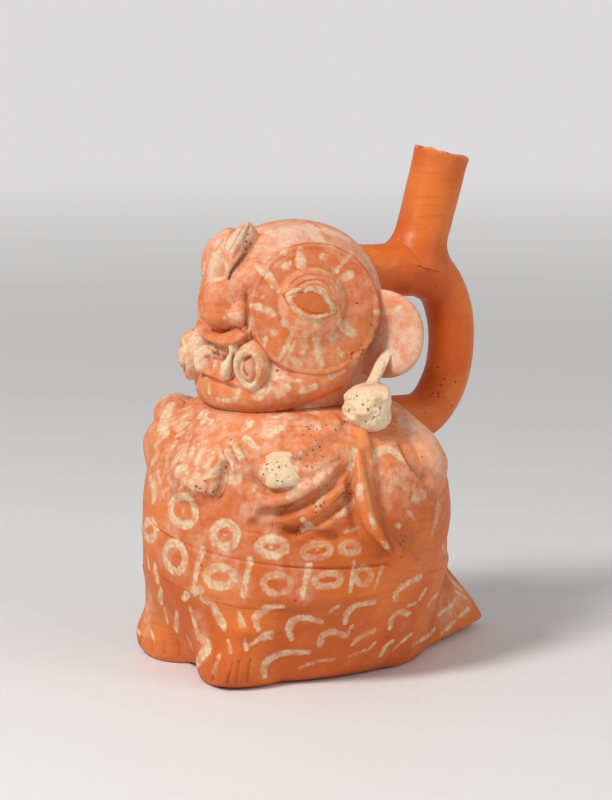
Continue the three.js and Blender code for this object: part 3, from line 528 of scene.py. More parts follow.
class Mound:
    """Clay pressed on around a point: an oval of two half sizes, squarer with power, flatter with flat."""

    def __init__(self, middle, half, lift, chart, blend=3.0, power=2.0, flat=2.0, turn=0.0, shape=None):
        """The shape, where there is one, gives the section as a function of the distance out."""
        self.middle, self.half, self.rise, self.chart = middle, half, lift, chart
        self.blend, self.power, self.flat, self.turn, self.shape = blend, power, flat, turn, shape

    def lift(self, u, v):
        """Lift times one less a power of the distance over the oval's radius in that direction."""
        x = (u - self.middle[0]) * self.chart[0]
        y = (v - self.middle[1]) * self.chart[1]
        x, y = x * cos(self.turn) + y * sin(self.turn), -x * sin(self.turn) + y * cos(self.turn)
        far = 1 / super_radius(x / self.half[0], y / self.half[1], self.power)
        shaped = 1 - far**self.flat if self.shape is None else self.shape(far)
        return self.rise * np.where(far < 1, shaped, self.shape_edge(shaped, far))

    def shape_edge(self, shaped, far):
        """Outside the oval the height falls steadily below 0."""
        return np.maximum(shaped, -self.flat * (far - 1)) if self.shape is None else -3 * (far - 1)

    def grid(self, step, margin):
        """Rings of angles and heights around the middle, out to the oval's edge."""
        rings = 8 * max(1, round(max(self.half) * margin / step / 8))
        columns = 8 * max(2, round(2 * math.pi * np.mean(self.half) * margin / step / 8))
        around = np.linspace(0, -360, columns + 1)
        r = super_radius(cos(around) / self.half[0], sin(around) / self.half[1], self.power) * margin
        t = np.linspace(0, 1, rings + 1)[:, None]
        x, y = r * cos(around) * t, r * sin(around) * t
        u = self.middle[0] + (x * cos(self.turn) - y * sin(self.turn)) / self.chart[0]
        v = self.middle[1] + (x * sin(self.turn) + y * cos(self.turn)) / self.chart[1]
        return u, v, True


wing_rise, body_unevenness = 18.0, 0.8
wing_line = [[92, 110, 5, 5], [88, 100, 6.5, 6], [86, 84, 7, 7], [91, 66, 7, 7], [106, 52, 5, 6]]
lobe_line = [[130, 114, 5, 6], [127, 105, 10, 9], [124, 96, 14, 10], [122, 87, 9, 8]]


def other_side(stations):
    """The same line on the other side of the body."""
    return [[-u, *rest] for u, *rest in stations]


def raised(stations, rise):
    """The line with its low points lifted clear of the belt, which climbs on the figure's right."""
    lowest = stations[-1][1]
    return [[u, max(v, lowest + rise), *rest] for u, v, *rest in stations]


chin_roll = [[-84, 115, 2.6, 3], [0, 115.4, 2.6, 3.2], [84, 115, 2.6, 3]]
hem_line = [[62, 70, 3.5, 2], [71, 75, 4.5, 2.5], [80, 82, 5, 2.5]]
fold_line = [[54, 75, 4, 2], [63, 80, 5.5, 3.2], [73, 88, 6, 4], [80, 96, 5, 3.5]]
sleeve_line = [[48, 84, 4.5, 2.5], [57, 87, 6.5, 4.2], [69, 94, 7.5, 5], [80, 102, 6, 4]]
left_arm_line = [[84, 106, 6, 4.5], [74, 104, 8, 5.5], [62, 100, 8.5, 5.5], [51, 97, 8.5, 6.0]]
left_hand_line = [[46, 98, 7, 4.5], [38, 101, 8.5, 5.5], [30, 102, 8, 5]]

on_body = {
    "tail": Tail(),
    "left_leg": Leg(1),
    "right_leg": Leg(-1),
    "belt_lower_band": Band(belt_low, belt_line, sharp),
    "belt_upper_band": Band(belt_line, belt_top, soft_over_belly),
    "collar": Ridge(chin_roll, body_chart),
    "right_sleeve": Mound((-38, 103), (34, 16), 8.0, body_chart, blend=6),
    "held_bundle": Mound((16, 93), (18, 15), 6.5, body_chart, blend=1.5, power=2.2, flat=2.6),
    "left_wing": Mound((119, 80), (33, 31), 4.5, body_chart, blend=2.5, power=2.3, flat=5),
    "right_wing": Mound((-119, 90), (33, 25), 4.5, body_chart, blend=2.5, power=2.3, flat=5),
    "left_wing_edge": Ridge(wing_line, body_chart, blend=3),
    "right_wing_edge": Ridge(raised(other_side(wing_line), wing_rise), body_chart, blend=3),
    "left_shoulder_lobe": Ridge(lobe_line, body_chart, blend=2, power=2.6),
    "right_shoulder_lobe": Ridge(other_side(lobe_line), body_chart, blend=2, power=2.6),
    "left_hem": Ridge(hem_line, body_chart, blend=2),
    "left_fold": Ridge(fold_line, body_chart, blend=2),
    "left_sleeve": Ridge(sleeve_line, body_chart, blend=2),
    "left_arm": Ridge(left_arm_line, body_chart, blend=2.5),
    "left_wristband": Mound((54.5, 96.8), (9, 8.4), 6.8, body_chart, blend=1.2, power=4, flat=4, turn=8),
    "left_hand": Ridge(left_hand_line, body_chart, blend=2.5),
}
body_slots = {
    "left_wing_edge": "burnished",
    "right_wing_edge": "burnished",
    "left_shoulder_lobe": "pink_clay",
    "right_shoulder_lobe": "pink_clay",
    "left_wristband": "cream",
}


def body_lift(angle, height):
    """All the lifts run together over the plain body, the last ones over the first."""
    total = np.zeros(np.broadcast(angle, height).shape)
    for form in on_body.values():
        total = smooth_max(total, form.lift(angle, height), form.blend)
    return total


def body_point(angle, height, radius):
    """The place at an angle, a height and a distance from the axis."""
    return np.stack([radius * sin(angle), -radius * cos(angle), np.broadcast_to(height, np.shape(radius))], -1)


def body_surface(angle, height, sunk=0):
    """The finished outer face of the body, drawn in by sunk where another piece covers it."""
    plain = body_plain(angle, height)
    lift = body_lift(angle, height) + hand_made(body_point(angle, height, plain)) * body_unevenness
    return body_point(angle, height, plain + lift - sunk)


sink_rate, sink_most = 0.6, 2.5


def sink_under(own, others, u, v):
    """How far a piece dips below the common face: in step with how far the piece above it stands over it."""
    above = np.full(np.shape(u), -1e9)
    for other in others:
        above = np.maximum(above, other.lift(u, v))
    return np.clip(sink_rate * (above - own), 0, sink_most)


def strip(coarse, fine, turned):
    """Triangles between two rows of points, the fine one with a whole number of steps for each coarse one."""
    k = (len(fine) - 1) // (len(coarse) - 1)
    j = np.arange(len(coarse) - 1)
    i = np.arange(len(fine) - 1)
    a = np.stack([coarse[j], coarse[j + 1], fine[k * j + k // 2]], -1)
    b = np.stack([coarse[(i + k // 2) // k], fine[i + 1], fine[i]], -1)
    faces = np.vstack([a, b])
    return faces[:, ::-1] if turned else faces


def grid_faces(index):
    """Two triangles for each square of a grid of points."""
    a, b, c, d = index[:-1, :-1], index[:-1, 1:], index[1:, 1:], index[1:, :-1]
    return np.concatenate([np.stack([a, b, c], -1).reshape(-1, 3), np.stack([a, c, d], -1).reshape(-1, 3)])


points_per_mm = 2000
made = {}


def closed_piece(node, outer, inner, ring, slot="clay"):
    """A closed solid from a fine outer grid and a coarse inner one, joined along their borders."""
    fine = np.arange(outer[..., 0].size).reshape(outer.shape[:2])
    coarse = np.arange(inner[..., 0].size).reshape(inner.shape[:2]) + fine.size
    faces = [grid_faces(fine), grid_faces(coarse)[:, ::-1]]
    faces += [strip(coarse[0], fine[0], False), strip(coarse[-1], fine[-1], True)]
    if not ring:
        faces += [strip(coarse[:, 0], fine[:, 0], True), strip(coarse[:, -1], fine[:, -1], False)]
    points = np.vstack([outer.reshape(-1, 3), inner.reshape(-1, 3)])
    place_mesh(node, points, np.vstack(faces), slot)


def place_mesh(node, points, faces, slot):
    """Puts triangles into a mesh, with points that fall together merged and squeezed faces left out."""
    name = f"{node}_clay"
    places = np.round(points * points_per_mm).astype(np.int64)
    _, first, same = np.unique(places, axis=0, return_index=True, return_inverse=True)
    faces = same.reshape(-1)[faces]
    whole = (faces[:, 0] != faces[:, 1]) & (faces[:, 1] != faces[:, 2]) & (faces[:, 2] != faces[:, 0])
    faces = faces[whole]
    points = points[first]
    mesh = bpy.data.meshes.new(name)
    mesh.vertices.add(len(points))
    mesh.vertices.foreach_set("co", to_scene(points).astype(np.float32).ravel())
    mesh.loops.add(faces.size)
    mesh.loops.foreach_set("vertex_index", faces.astype(np.int32).ravel())
    mesh.polygons.add(len(faces))
    mesh.polygons.foreach_set("loop_start", np.arange(0, faces.size, 3, dtype=np.int32))
    mesh.polygons.foreach_set("loop_total", np.full(len(faces), 3, np.int32))
    mesh.polygons.foreach_set("use_smooth", np.ones(len(faces), bool))
    mesh.update(calc_edges=True)
    mesh.validate()
    mesh.set_sharp_from_angle(angle=math.radians(45))
    mesh.materials.append(finishes[slot])
    piece = bpy.data.objects.new(name, mesh)
    bpy.context.scene.collection.objects.link(piece)
    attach(piece, "root")
    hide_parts(node)
    made[name] = (piece, points)


def chart_piece(node, own, others, grid, surface, inner_surface, slot):
    """One luted piece: its outer face is the common face inside its footprint, and dips under at its edge."""
    u, v, ring = grid
    outer = surface(u, v, sink_under(own.lift(u, v), others, u, v))
    inner = inner_surface(u[::8, ::8], v[::8, ::8])
    closed_piece(node, outer, inner, ring, slot)


class Nothing:
    """The plain body itself, as the form that lies under all the others."""

    blend = 1.0

    def lift(self, u, v):
        """0 everywhere."""
        return np.zeros(np.broadcast(u, v).shape)


bare = Nothing()
step = 0.55
footprint_margin, inner_depth = 1.1, 2.5


def body_inner(depth):
    """A face at a depth under the plain body, for the hidden side of a luted piece."""
    return lambda u, v: body_point(u, v, body_plain(u, v) - depth)


for node, form in on_body.items():
    others = [bare] + [other for key, other in on_body.items() if key != node]
    grid, slot = form.grid(step, footprint_margin), body_slots.get(node, "clay")
    chart_piece(node, form, others, grid, body_surface, body_inner(inner_depth), slot)

# Body shells: the two mould halves, cut open at the neck, with walls of one thickness. They stop short under
# each form that is luted on, so that no two faces lie in one place.
wall, half_span, floor_gap = 5.0, 90, 0.97
half_columns = 8 * round(180 * body_arc / step / 8)
half_rows = 8 * round(125 / step / 8)
for node, middle in (("body_front_shell", 0), ("body_back_shell", 180)):
    angle = np.linspace(middle - half_span, middle + half_span, half_columns + 1)
    height = shoulder_height * np.linspace(0, 1, half_rows + 1) ** 0.9
    u, v = np.meshgrid(angle, height)
    covers = np.zeros(u.shape)
    for form in on_body.values():
        covers = np.maximum(covers, form.lift(u, v))
    outer = body_surface(u, v, np.clip(sink_rate * covers, 0, sink_most))
    inner_u, inner_v = u[::8, ::8], v[::8, ::8]
    inner = body_point(inner_u, inner_v * floor_gap, body_plain(inner_u, inner_v) - wall)
    closed_piece(node, outer, inner, False)

# Face: rolls and pellets of clay luted on to the hollow head, a dome over a fuller jaw. They are the jaw,
# brows, hooked nose, lips, teeth, fangs, the curl on each side of the mouth, and two feather tufts on the
# forehead. Places are a direction around the head and a rise above level, in degrees.
head_height, head_forward = 157.0, 1.0
head_front, head_side, head_back, head_top, head_bottom = 39.0, 35.0, 41.0, 39.3, 58.0
round_power, dome_power, jaw_power, head_unevenness = 2.2, 2.15, 3, 0.6
head_arc = head_front * math.pi / 180
head_chart = np.array([head_arc, head_arc])


def head_plain(angle, rise):
    """Radius of the plain head about its centre, for a direction around and a rise above level."""
    lengthways = np.where(cos(angle) > 0, head_front, head_back)
    flat = super_radius(sin(angle) / head_side, cos(angle) / lengthways, round_power)
    tall = np.where(rise > 0, head_top, head_bottom)
    up, level = np.abs(sin(rise)) / tall, np.abs(cos(rise)) / flat
    dome = (level**dome_power + up**dome_power) ** (-1 / dome_power)
    jaw = (level**jaw_power + up**jaw_power) ** (-1 / jaw_power)
    return np.where(rise > 0, dome, jaw)


def head_point(angle, rise, radius):
    """The place in a direction around and a rise above level, at a distance from the head's centre."""
    level = radius * cos(rise)
    x, y = level * sin(angle), -head_forward - level * cos(angle)
    return np.stack([x, y, head_height + radius * sin(rise)], -1)


face_turn = 8.0
fang_line = [
    [23.2, -14.5, 2.4, 6.5], [23.6, -18.5, 2.2, 7.5], [21.5, -23.5, 3.8, 9.2], [20, -27.5, 3.6, 9.2],
]
brow_line = [[10, 12, 7, 7], [17, 19.5, 7.5, 5], [24, 26, 7, 3.4], [31, 31, 5.5, 2]]


def across_face(stations):
    """The same line on the other side of the face, whose middle is turned a little to the figure's left."""
    return [[2 * face_turn - u, *rest] for u, *rest in stations]


def curl_shape(far):
    """Across the curl beside the mouth: a bead, then a groove, a ring, and a fall to the edge."""
    dome = 0.5 + 0.5 * np.sqrt(np.clip(1 - far**2, 0, 1))
    return dome - 0.22 * np.exp(-(((far - 0.42) / 0.1) ** 2)) - 0.5 * far**8


jaw_line = [[-90, -35, 6, 4], [-45, -39, 7.5, 6], [8, -38.5, 9, 9], [50, -40, 7.5, 6], [95, -35, 6, 4.5]]
upper_lip_line = [
    [-15, -6.5, 2.8, 4.5], [-4, -10.5, 3.3, 6], [8, -11.5, 3.5, 6.8],
    [19, -13, 3.5, 6.2], [27, -10.2, 3.2, 5.6], [32, -6, 2.6, 4.5],
]
lower_lip_line = [
    [-12, -25, 3, 4], [0, -29.5, 3.6, 6.5], [10, -31, 3.6, 7], [21, -32, 3.4, 6.5], [30, -29, 2.5, 4],
]
beak_line = [[9.5, 2.5, 8.5, 9.5], [9.5, 9, 8, 9], [10, 14, 6.5, 8]]
upper_teeth_line = [[-4, -19, 2.4, 2.5], [7, -18.3, 3, 3.5], [18, -20, 2.4, 3]]
lower_teeth_line = [[-2, -25.5, 2.4, 2.5], [7, -25.5, 3, 3.5], [16, -26.5, 2.4, 3]]
left_tuft_line = [
    [18, 23, 2.5, 6], [18, 30, 4, 8.5], [16.5, 37, 5.5, 10],
    [14.5, 44, 6, 10.5], [14, 50, 5, 10], [14, 55, 3.2, 9],
]
right_tuft_line = [[4, 18, 6, 5], [1, 27, 10, 9], [-1, 36, 11, 11.5], [1, 44, 8, 11]]

on_head = {
    "lower_jaw": Ridge(jaw_line, head_chart),
    "left_brow": Ridge(brow_line, head_chart, blend=8),
    "right_brow": Ridge(across_face(brow_line), head_chart, blend=8),
    "beak": Ridge(beak_line, head_chart, blend=4),
    "left_nostril": Mound((24.5, 2), (7, 5), 3.4, head_chart, blend=5, flat=2.4),
    "right_nostril": Mound((-8.5, 2), (7, 5), 3.4, head_chart, blend=5, flat=2.4),
    "upper_lip": Ridge(upper_lip_line, head_chart, blend=1.2),
    "lower_lip": Ridge(lower_lip_line, head_chart, blend=1.2),
    "upper_teeth": Ridge(upper_teeth_line, head_chart, blend=0.8),
    "lower_teeth": Ridge(lower_teeth_line, head_chart, blend=0.8),
    "left_fang": Ridge(fang_line, head_chart, blend=1.2),
    "right_fang": Ridge(across_face(fang_line), head_chart, blend=1.2),
    "left_mouth_curl": Mound((34, -25), (7.6, 9.2), 8.5, head_chart, blend=1.5, shape=curl_shape),
    "right_mouth_curl": Mound((-18, -22), (8, 9.5), 13, head_chart, blend=1.5, shape=curl_shape),
    "left_tuft": Ridge(left_tuft_line, head_chart, blend=1.5, power=3.5),
    "right_tuft": Ridge(right_tuft_line, head_chart, blend=1.2, power=3),
}
face_slots = {
    "left_fang": "cream",
    "right_fang": "pink_clay",
    "left_tuft": "pink_clay",
    "right_tuft": "pink_clay",
    "left_mouth_curl": "pink_clay",
    "right_mouth_curl": "pink_clay",
}


def head_lift(angle, rise):
    """All the lifts run together over the plain head."""
    total = np.zeros(np.broadcast(angle, rise).shape)
    for form in on_head.values():
        total = smooth_max(total, form.lift(angle, rise), form.blend)
    return total


def head_surface(angle, rise, sunk=0):
    """The finished outer face of the head, drawn in by sunk where another piece covers it."""
    plain = head_plain(angle, rise)
    lift = head_lift(angle, rise) + hand_made(head_point(angle, rise, plain)) * head_unevenness
    return head_point(angle, rise, plain + lift - sunk)


def head_inner(depth):
    """A face at a depth under the plain head, for the hidden side of a luted piece."""
    return lambda u, v: head_point(u, v, head_plain(u, v) - depth)


face_step = 0.4
for node, form in on_head.items():
    others = [bare] + [other for key, other in on_head.items() if key != node]
    grid, slot = form.grid(face_step, footprint_margin), face_slots.get(node, "clay")
    chart_piece(node, form, others, grid, head_surface, head_inner(inner_depth), slot)


# Head shells: the two mould halves of the head, hollow, with walls of one thickness, hazy from worn slip.
# They stand on the shoulders, where the head is open to the body.
def lowest_rise(angle):
    """The rise at which the head meets the shoulders, found by closing in on that height."""
    rise = np.full(np.shape(angle), -45.0)
    for _ in range(30):
        rise = rise + (shoulder_height - head_height - head_plain(angle, rise) * sin(rise)) * 0.5
    return rise


head_columns = 8 * round(180 * head_arc / step / 8)
head_rows = 8 * round(88 / step / 8)
for node, middle in (("head_front_shell", 0), ("head_back_shell", 180)):
    angle = np.linspace(middle - half_span, middle + half_span, head_columns + 1)
    t = np.linspace(0, 1, head_rows + 1)[:, None]
    v = mix(lowest_rise(angle), 90, t)
    u = np.broadcast_to(angle, v.shape).copy()
    covers = np.zeros(u.shape)
    for form in on_head.values():
        covers = np.maximum(covers, form.lift(u, v))
    outer = head_surface(u, v, np.clip(sink_rate * covers, 0, sink_most))
    outer[-1] = outer[-1].mean(0)
    inner_u, inner_v = u[::8, ::8], v[::8, ::8]
    inner = head_point(inner_u, inner_v, head_plain(inner_u, inner_v) - wall)
    inner[-1] = inner[-1].mean(0)
    closed_piece(node, outer, inner, False, "pink_clay")

# Eye discs: round plates luted to the sides of the face, their back edges standing free of the head. On each
# sits a lid, a mound with three brow folds, and on the lid an almond eye with a raised outline.
# On a disc x runs to the back of the head, y up and h outwards.
disc_radius, disc_out, disc_forward, disc_height, disc_turn, disc_tilt = 29.0, 32.5, 9.0, 161.3, 70.0, 9.0
disc_crown, disc_rim, disc_thickness, disc_over_head, disc_unevenness = 4.6, 0.4, 5.0, 1.1, 0.5
rim_place, rim_half, groove_place, groove_half, groove_deep = 0.955, 0.04, 0.89, 0.012, 0.18
edge_drop, edge_from = 1.2, 0.95


def disc_point(x, y, h, side):
    """The place on a disc: x back, y up and h out, turned from the face and tilted down."""
    back, out = x, h * cos(disc_tilt) - y * sin(disc_tilt)
    return np.stack(
        [
            side * (disc_out + back * cos(disc_turn) + out * sin(disc_turn)),
            -disc_forward + back * sin(disc_turn) - out * cos(disc_turn),
            disc_height + y * cos(disc_tilt) + h * sin(disc_tilt) + 0 * x,
        ],
        -1,
    )


def head_depth(x, y):
    """How far the plain head stands in front of the disc's plane, found by halving."""
    low, high = np.full(np.shape(x), -14.0), np.full(np.shape(x), 20.0)
    for _ in range(20):
        middle = (low + high) / 2
        p = disc_point(x, y, middle, 1)
        level = np.hypot(p[..., 0], p[..., 1] + head_forward)
        up = p[..., 2] - head_height
        rise = np.degrees(np.arctan2(up, level))
        around = np.degrees(np.arctan2(p[..., 0], -p[..., 1] - head_forward))
        inside = np.hypot(level, up) < head_plain(around, rise)
        low, high = np.where(inside, middle, low), np.where(inside, high, middle)
    return low


def disc_front(x, y):
    """A shallow crown inside a raised rim, with a fine line cut just inside the rim."""
    t = np.minimum(1, np.hypot(x, y) / disc_radius)
    rim = disc_rim * np.exp(-(((t - rim_place) / rim_half) ** 2))
    groove = groove_deep * np.exp(-(((t - groove_place) / groove_half) ** 2))
    return np.maximum(disc_crown * (1 - t * t) + (rim - groove), head_depth(x, y) + disc_over_head)


lid_middle, lid_width, lid_tall, lid_deep, lid_rise = (-2.0, 3.0), 14.6, 14.8, 18.0, 5.4
brow_folds, fold_half = ((0.86, 1.5), (0.7, 1.7), (0.55, 1.2)), 0.055
eye_middle, eye_length, eye_tall, eye_turn = (-3.2, 2.4), 12.6, 7.6, -21.0
ball_height, ridge_height, ridge_place, ridge_half = 1.3, 0.6, 0.82, 0.12
moat_deep, moat_place, moat_half, eye_reach = 0.5, 0.55, 0.07, 1.6
eye_step = 0.3


def mound_radius(angle):
    """Outline of the lid mound: round above and drawn to a point below."""
    above = sin(angle) > 0
    tall, power = np.where(above, lid_tall, lid_deep), np.where(above, 2.1, 1.7)
    return super_radius(cos(angle) / lid_width, sin(angle) / tall, power)


def mound_lift(x, y):
    """The lid mound, with three brow folds around its upper half."""
    dx, dy = x - lid_middle[0], y - lid_middle[1]
    angle = np.degrees(np.arctan2(dy, dx))
    t = np.hypot(dx, dy) / mound_radius(angle)
    folds = sum(size * np.exp(-(((t - place) / fold_half) ** 2)) for place, size in brow_folds)
    folds = folds * np.clip(2.5 * sin(angle) - 0.75, 0, 1)
    return lid_rise * (1 - np.minimum(t, 1.4) ** 3.6) + folds * (t < 1)


def almond(x, y):
    """How far out a point is on the eye, whose outline is two arcs that meet in points: 1 is the outline."""
    dx, dy = x - eye_middle[0], y - eye_middle[1]
    a, b = dx * cos(eye_turn) + dy * sin(eye_turn), -dx * sin(eye_turn) + dy * cos(eye_turn)
    return (a / eye_length) ** 2 + np.abs(b) / eye_tall


def almond_radius(angle):
    """Distance from the middle of the eye to its outline."""
    c, d = cos(angle - eye_turn) / eye_length, np.abs(sin(angle - eye_turn)) / eye_tall
    return 2 / (d + np.sqrt(d * d + 4 * c * c))


def eye_lift(x, y):
    """A low dome with a ridge along the almond outline and a moat inside the ridge."""
    t = almond(x, y)
    ridge = ridge_height * np.exp(-(((t - ridge_place) / ridge_half) ** 2))
    moat = moat_deep * np.exp(-(((t - moat_place) / moat_half) ** 2))
    return ball_height * (1 - np.minimum(t, 2) ** 3) + ridge - moat


def disc_face(x, y):
    """The disc's front with the lid mound and the eye run together on it."""
    face = disc_front(x, y)
    face = smooth_max(face, face + mound_lift(x, y), 2.0)
    return np.where(almond(x, y) < eye_reach, smooth_max(face, face + eye_lift(x, y), 0.8), face)


def disc_grid(middle, radius, fine, margin=1.08):
    """Rings of places around a middle, out to a radius that is a function of direction."""
    rings = 8 * max(1, round(np.max(radius(np.arange(0, 360, 5.0))) * margin / fine / 8))
    columns = 8 * round(2 * math.pi * np.mean(radius(np.arange(0, 360, 5.0))) * margin / fine / 8)
    around = np.linspace(0, -360, columns + 1)
    r = radius(around) * margin * np.linspace(0, 1, rings + 1)[:, None]
    return middle[0] + r * cos(around), middle[1] + r * sin(around)


def plate(node, side, x, y, front, back):
    """A piece of the disc's face between two heights; on the right side its columns run the other way."""
    outer = disc_point(x, y, front, side)
    inner = disc_point(x[::8, ::8], y[::8, ::8], back[::8, ::8], side)
    if side < 0:
        outer, inner = outer[:, ::-1], inner[:, ::-1]
    closed_piece(node, outer, inner, True)


def disc_uneven(x, y):
    """The unevenness of the disc's face, the same on both discs."""
    return disc_unevenness * hand_made(disc_point(x, y, 0 * x, 1) + 40)


for name, side in (("left", 1), ("right", -1)):
    x, y = disc_grid((0, 0), lambda a: np.full(np.shape(a), disc_radius), face_step, 1.0)
    covered = np.clip(sink_rate * np.maximum(mound_lift(x, y), 0), 0, sink_most)
    edge = np.hypot(x, y) / disc_radius
    rounded = edge_drop * np.maximum(0, (edge - edge_from) / (1 - edge_from)) ** 2
    front = disc_face(x, y) - covered + disc_uneven(x, y) - rounded
    back = np.maximum(head_depth(x, y) - 1, disc_front(x, y) - disc_thickness)
    plate(f"{name}_eye_disc", side, x, y, front, back)
    x, y = disc_grid(lid_middle, mound_radius, face_step)
    eye_over = np.where(almond(x, y) < eye_reach, eye_lift(x, y), 0)
    covered = np.clip(sink_rate * np.maximum(np.maximum(-mound_lift(x, y), 0), eye_over), 0, sink_most)
    front = disc_face(x, y) - covered + disc_uneven(x, y)
    plate(f"{name}_eyelid", side, x, y, front, disc_front(x, y) - 2)
    x, y = disc_grid(eye_middle, almond_radius, eye_step, 1.12)
    covered = np.clip(sink_rate * np.maximum(-eye_lift(x, y), 0), 0, sink_most)
    front = disc_face(x, y) - covered + disc_uneven(x, y)
    plate(f"{name}_eye", side, x, y, front, disc_front(x, y) + np.maximum(mound_lift(x, y), 0) - 2)

# Ears: hollowed lobes of clay, pinched out and luted on so that they stand out behind the discs.
# The front is a shallow hollow inside a rounded rim, the back a low dome.
ear_turn, ear_out, ear_height, ear_width, ear_tall, ear_depth = 120.0, 43.0, 149.0, 21.0, 19.5, 9.0
ear_hollow, hollow_reach, ear_unevenness = 2.4, 0.8, 0.6


def ear_point(x, y, h, side):
    """The place on an ear: x outwards, y up and h forwards, turned from the front of the head."""
    out = ear_out + x
    sideways, forwards = out * sin(ear_turn) - h * cos(ear_turn), -out * cos(ear_turn) - h * sin(ear_turn)
    return np.stack([side * sideways, forwards, ear_height + y + 0 * x], -1)


for name, side in (("left", 1), ("right", -1)):
    rings, columns = 8 * round(20 / face_step / 8), 8 * round(125 / face_step / 8)
    around = np.linspace(0, -360, columns + 1)
    t = np.linspace(0, 1, rings + 1)[:, None]
    r = super_radius(cos(around) / ear_width, sin(around) / ear_tall, 2.2) * t
    x, y = r * cos(around), r * sin(around)
    past = (t - hollow_reach) / (1 - hollow_reach)
    rim = ear_hollow * np.sqrt(np.clip(1 - past**2, 0, 1))
    hollow = np.where(t < hollow_reach, ear_hollow * ease(t / hollow_reach), rim)
    front = hollow + ear_unevenness * hand_made(ear_point(x, y, 0 * x, 1)) * (1 - t**8)
    back = -ear_depth * np.sqrt(1 - t**2) + 0 * x
    outer, inner = ear_point(x, y, front, side), ear_point(x, y, back, side)[::2, ::8]
    if side < 0:
        outer, inner = outer[:, ::-1], inner[:, ::-1]
    closed_piece(f"{name}_ear", outer, inner, True, "pink_clay")

# Ear pendants: a rough lump of clay on each shoulder, heavy with cream slip, with a strap up to the ear.
# Each is a round form about an upright line that leans back and in above the lump, roughened by hand.
pendant_out, pendant_back, pendant_height = 48.0, 8.0, 119.0
lump_radius, lump_half, strap_radius, strap_top = 10.2, 10.5, 2.8, 24
roughness = [[0.13, 7, 4], [0.1, 3.2, 5], [0.06, 1.3, 6]]


def pendant_radius(z):
    """A squarish ball below, run together with a thin strap above."""
    ball = lump_radius * np.clip(1 - np.abs(z / lump_half) ** 3.2, 0, 1) ** (1 / 2.4)
    strap = strap_radius * np.sqrt(np.clip((strap_top - z) / 3, 0, 1)) * (z > 0)
    return smooth_max(ball, strap, 1.6)


for name, side in (("left", 1), ("right", -1)):
    rows, columns = 8 * round(36 / face_step / 8), 8 * round(62 / face_step / 8)
    z = -lump_half + (strap_top + lump_half) * np.linspace(0, 1, rows + 1)[:, None]
    around = np.linspace(0, 360, columns + 1)
    radius = pendant_radius(z) * (z > -lump_half) + 0 * around
    drawn = np.maximum(z - 6, 0)
    middle_x, middle_y = side * (pendant_out - 0.4 * drawn), pendant_back + 0.88 * drawn
    centre = np.stack([middle_x + 0 * around, middle_y + 0 * around, pendant_height + z + 0 * around], -1)
    push = np.stack([cos(around) + 0 * z, sin(around) + 0 * z, 0 * z * around], -1)
    lumps = centre + push * 9
    rough = 1 + sum(share * lattice_noise(lumps, size, seed) for share, size, seed in roughness)
    outer = centre + push * (radius * rough)[..., None]
    inner = centre[::8, ::8] + push[::8, ::8] * (radius[::8, ::8] * 0.5)[..., None]
    closed_piece(f"{name}_ear_pendant", outer, inner, True, "cream")

# Right arm: a roll of clay laid from the shoulder to under the chin, with a painted wristband and a hand.
# It is circles across a curve, thicker at the wristband, and rounded off at its two ends.
arm_points = np.array([[-61, 2, 97], [-52, -26, 104], [-34, -42, 108], [-17, -49, 108.0]])
arm_radii = np.array([6, 8.5, 8.8, 7])
wrist_from, wrist_to, band_over_arm, arm_unevenness = 0.6, 0.74, 0.8, 0.7


def arm_axis(t):
    """A Catmull-Rom curve through the arm's points, for t from 0 to 1."""
    p = np.vstack([2 * arm_points[0] - arm_points[1], arm_points, 2 * arm_points[-1] - arm_points[-2]])
    q = np.clip(t, 0, 1) * (len(arm_points) - 1)
    k = np.minimum(q.astype(int), len(arm_points) - 2)
    f = (q - k)[:, None]
    a, b, c, d = p[k], p[k + 1], p[k + 2], p[k + 3]
    return 0.5 * (2 * b + (c - a) * f + (2 * a - 5 * b + 4 * c - d) * f**2 + (3 * b - a - 3 * c + d) * f**3)


def arm_length(node, start, end, extra, slot):
    """A stretch of the roll: circles across the curve, rounded off at the roll's own two ends."""
    rows, columns = 8 * max(1, round((end - start) * 75 / face_step / 8)), 8 * round(58 / face_step / 8)
    t = np.linspace(start, end, rows + 1)
    centre, ahead, behind = arm_axis(t), arm_axis(t + 0.004), arm_axis(t - 0.004)
    axis = ahead - behind
    axis /= np.linalg.norm(axis, axis=1, keepdims=True)
    across = np.cross([0, 0, 1], axis)
    across /= np.linalg.norm(across, axis=1, keepdims=True)
    over = np.cross(axis, across)
    thick = np.interp(t, np.linspace(0, 1, 4), arm_radii) + extra
    thick = thick * np.sqrt(np.clip(1 - np.abs(2 * t - 1) ** 6, 0, 1))
    around = np.linspace(0, 360, columns + 1)
    push = across[:, None] * cos(around)[:, None] + over[:, None] * sin(around)[:, None]
    outer = centre[:, None] + push * thick[:, None, None]
    outer = outer + push * (arm_unevenness * hand_made(outer))[..., None] * (thick > 1)[:, None, None]
    inner = (centre[:, None] + push * 0)[::8, ::8]
    closed_piece(node, outer, inner, True, slot)


arm_length("right_arm", 0, wrist_from, 0, "clay")
arm_length("right_wristband", wrist_from, wrist_to, band_over_arm, "pink_clay")
arm_length("right_hand", wrist_to, 1, 0, "clay")

# Handle and spout: three tubes of clay rolled around a rod, luted to the head, to the back and to each other,
# with their joints smoothed over, and burnished. All three bores open into one another. The front tube and the
# back tube meet in a plane that slants, and the spout stands on their joint.
tube_radius, bore_radius = 11.0, 6.5
spout_radius, spout_foot, spout_bore, spout_length, spout_lean = 12.2, 11.2, 8.6, 53.0, 16.5
junction_back, junction_height, junction_slope = 62.0, 172.0, 0.466
handle_reach, handle_middle, handle_foot, handle_turned = 84.0, 138.0, 102.0, 0.93
tuck_reach, tuck_depth, tube_unevenness = 1.6, 1.2, 0.55
handle_fillet, spout_fillet, settle_rate, settle_most = 4.0, 7.0, 0.8, 5.0


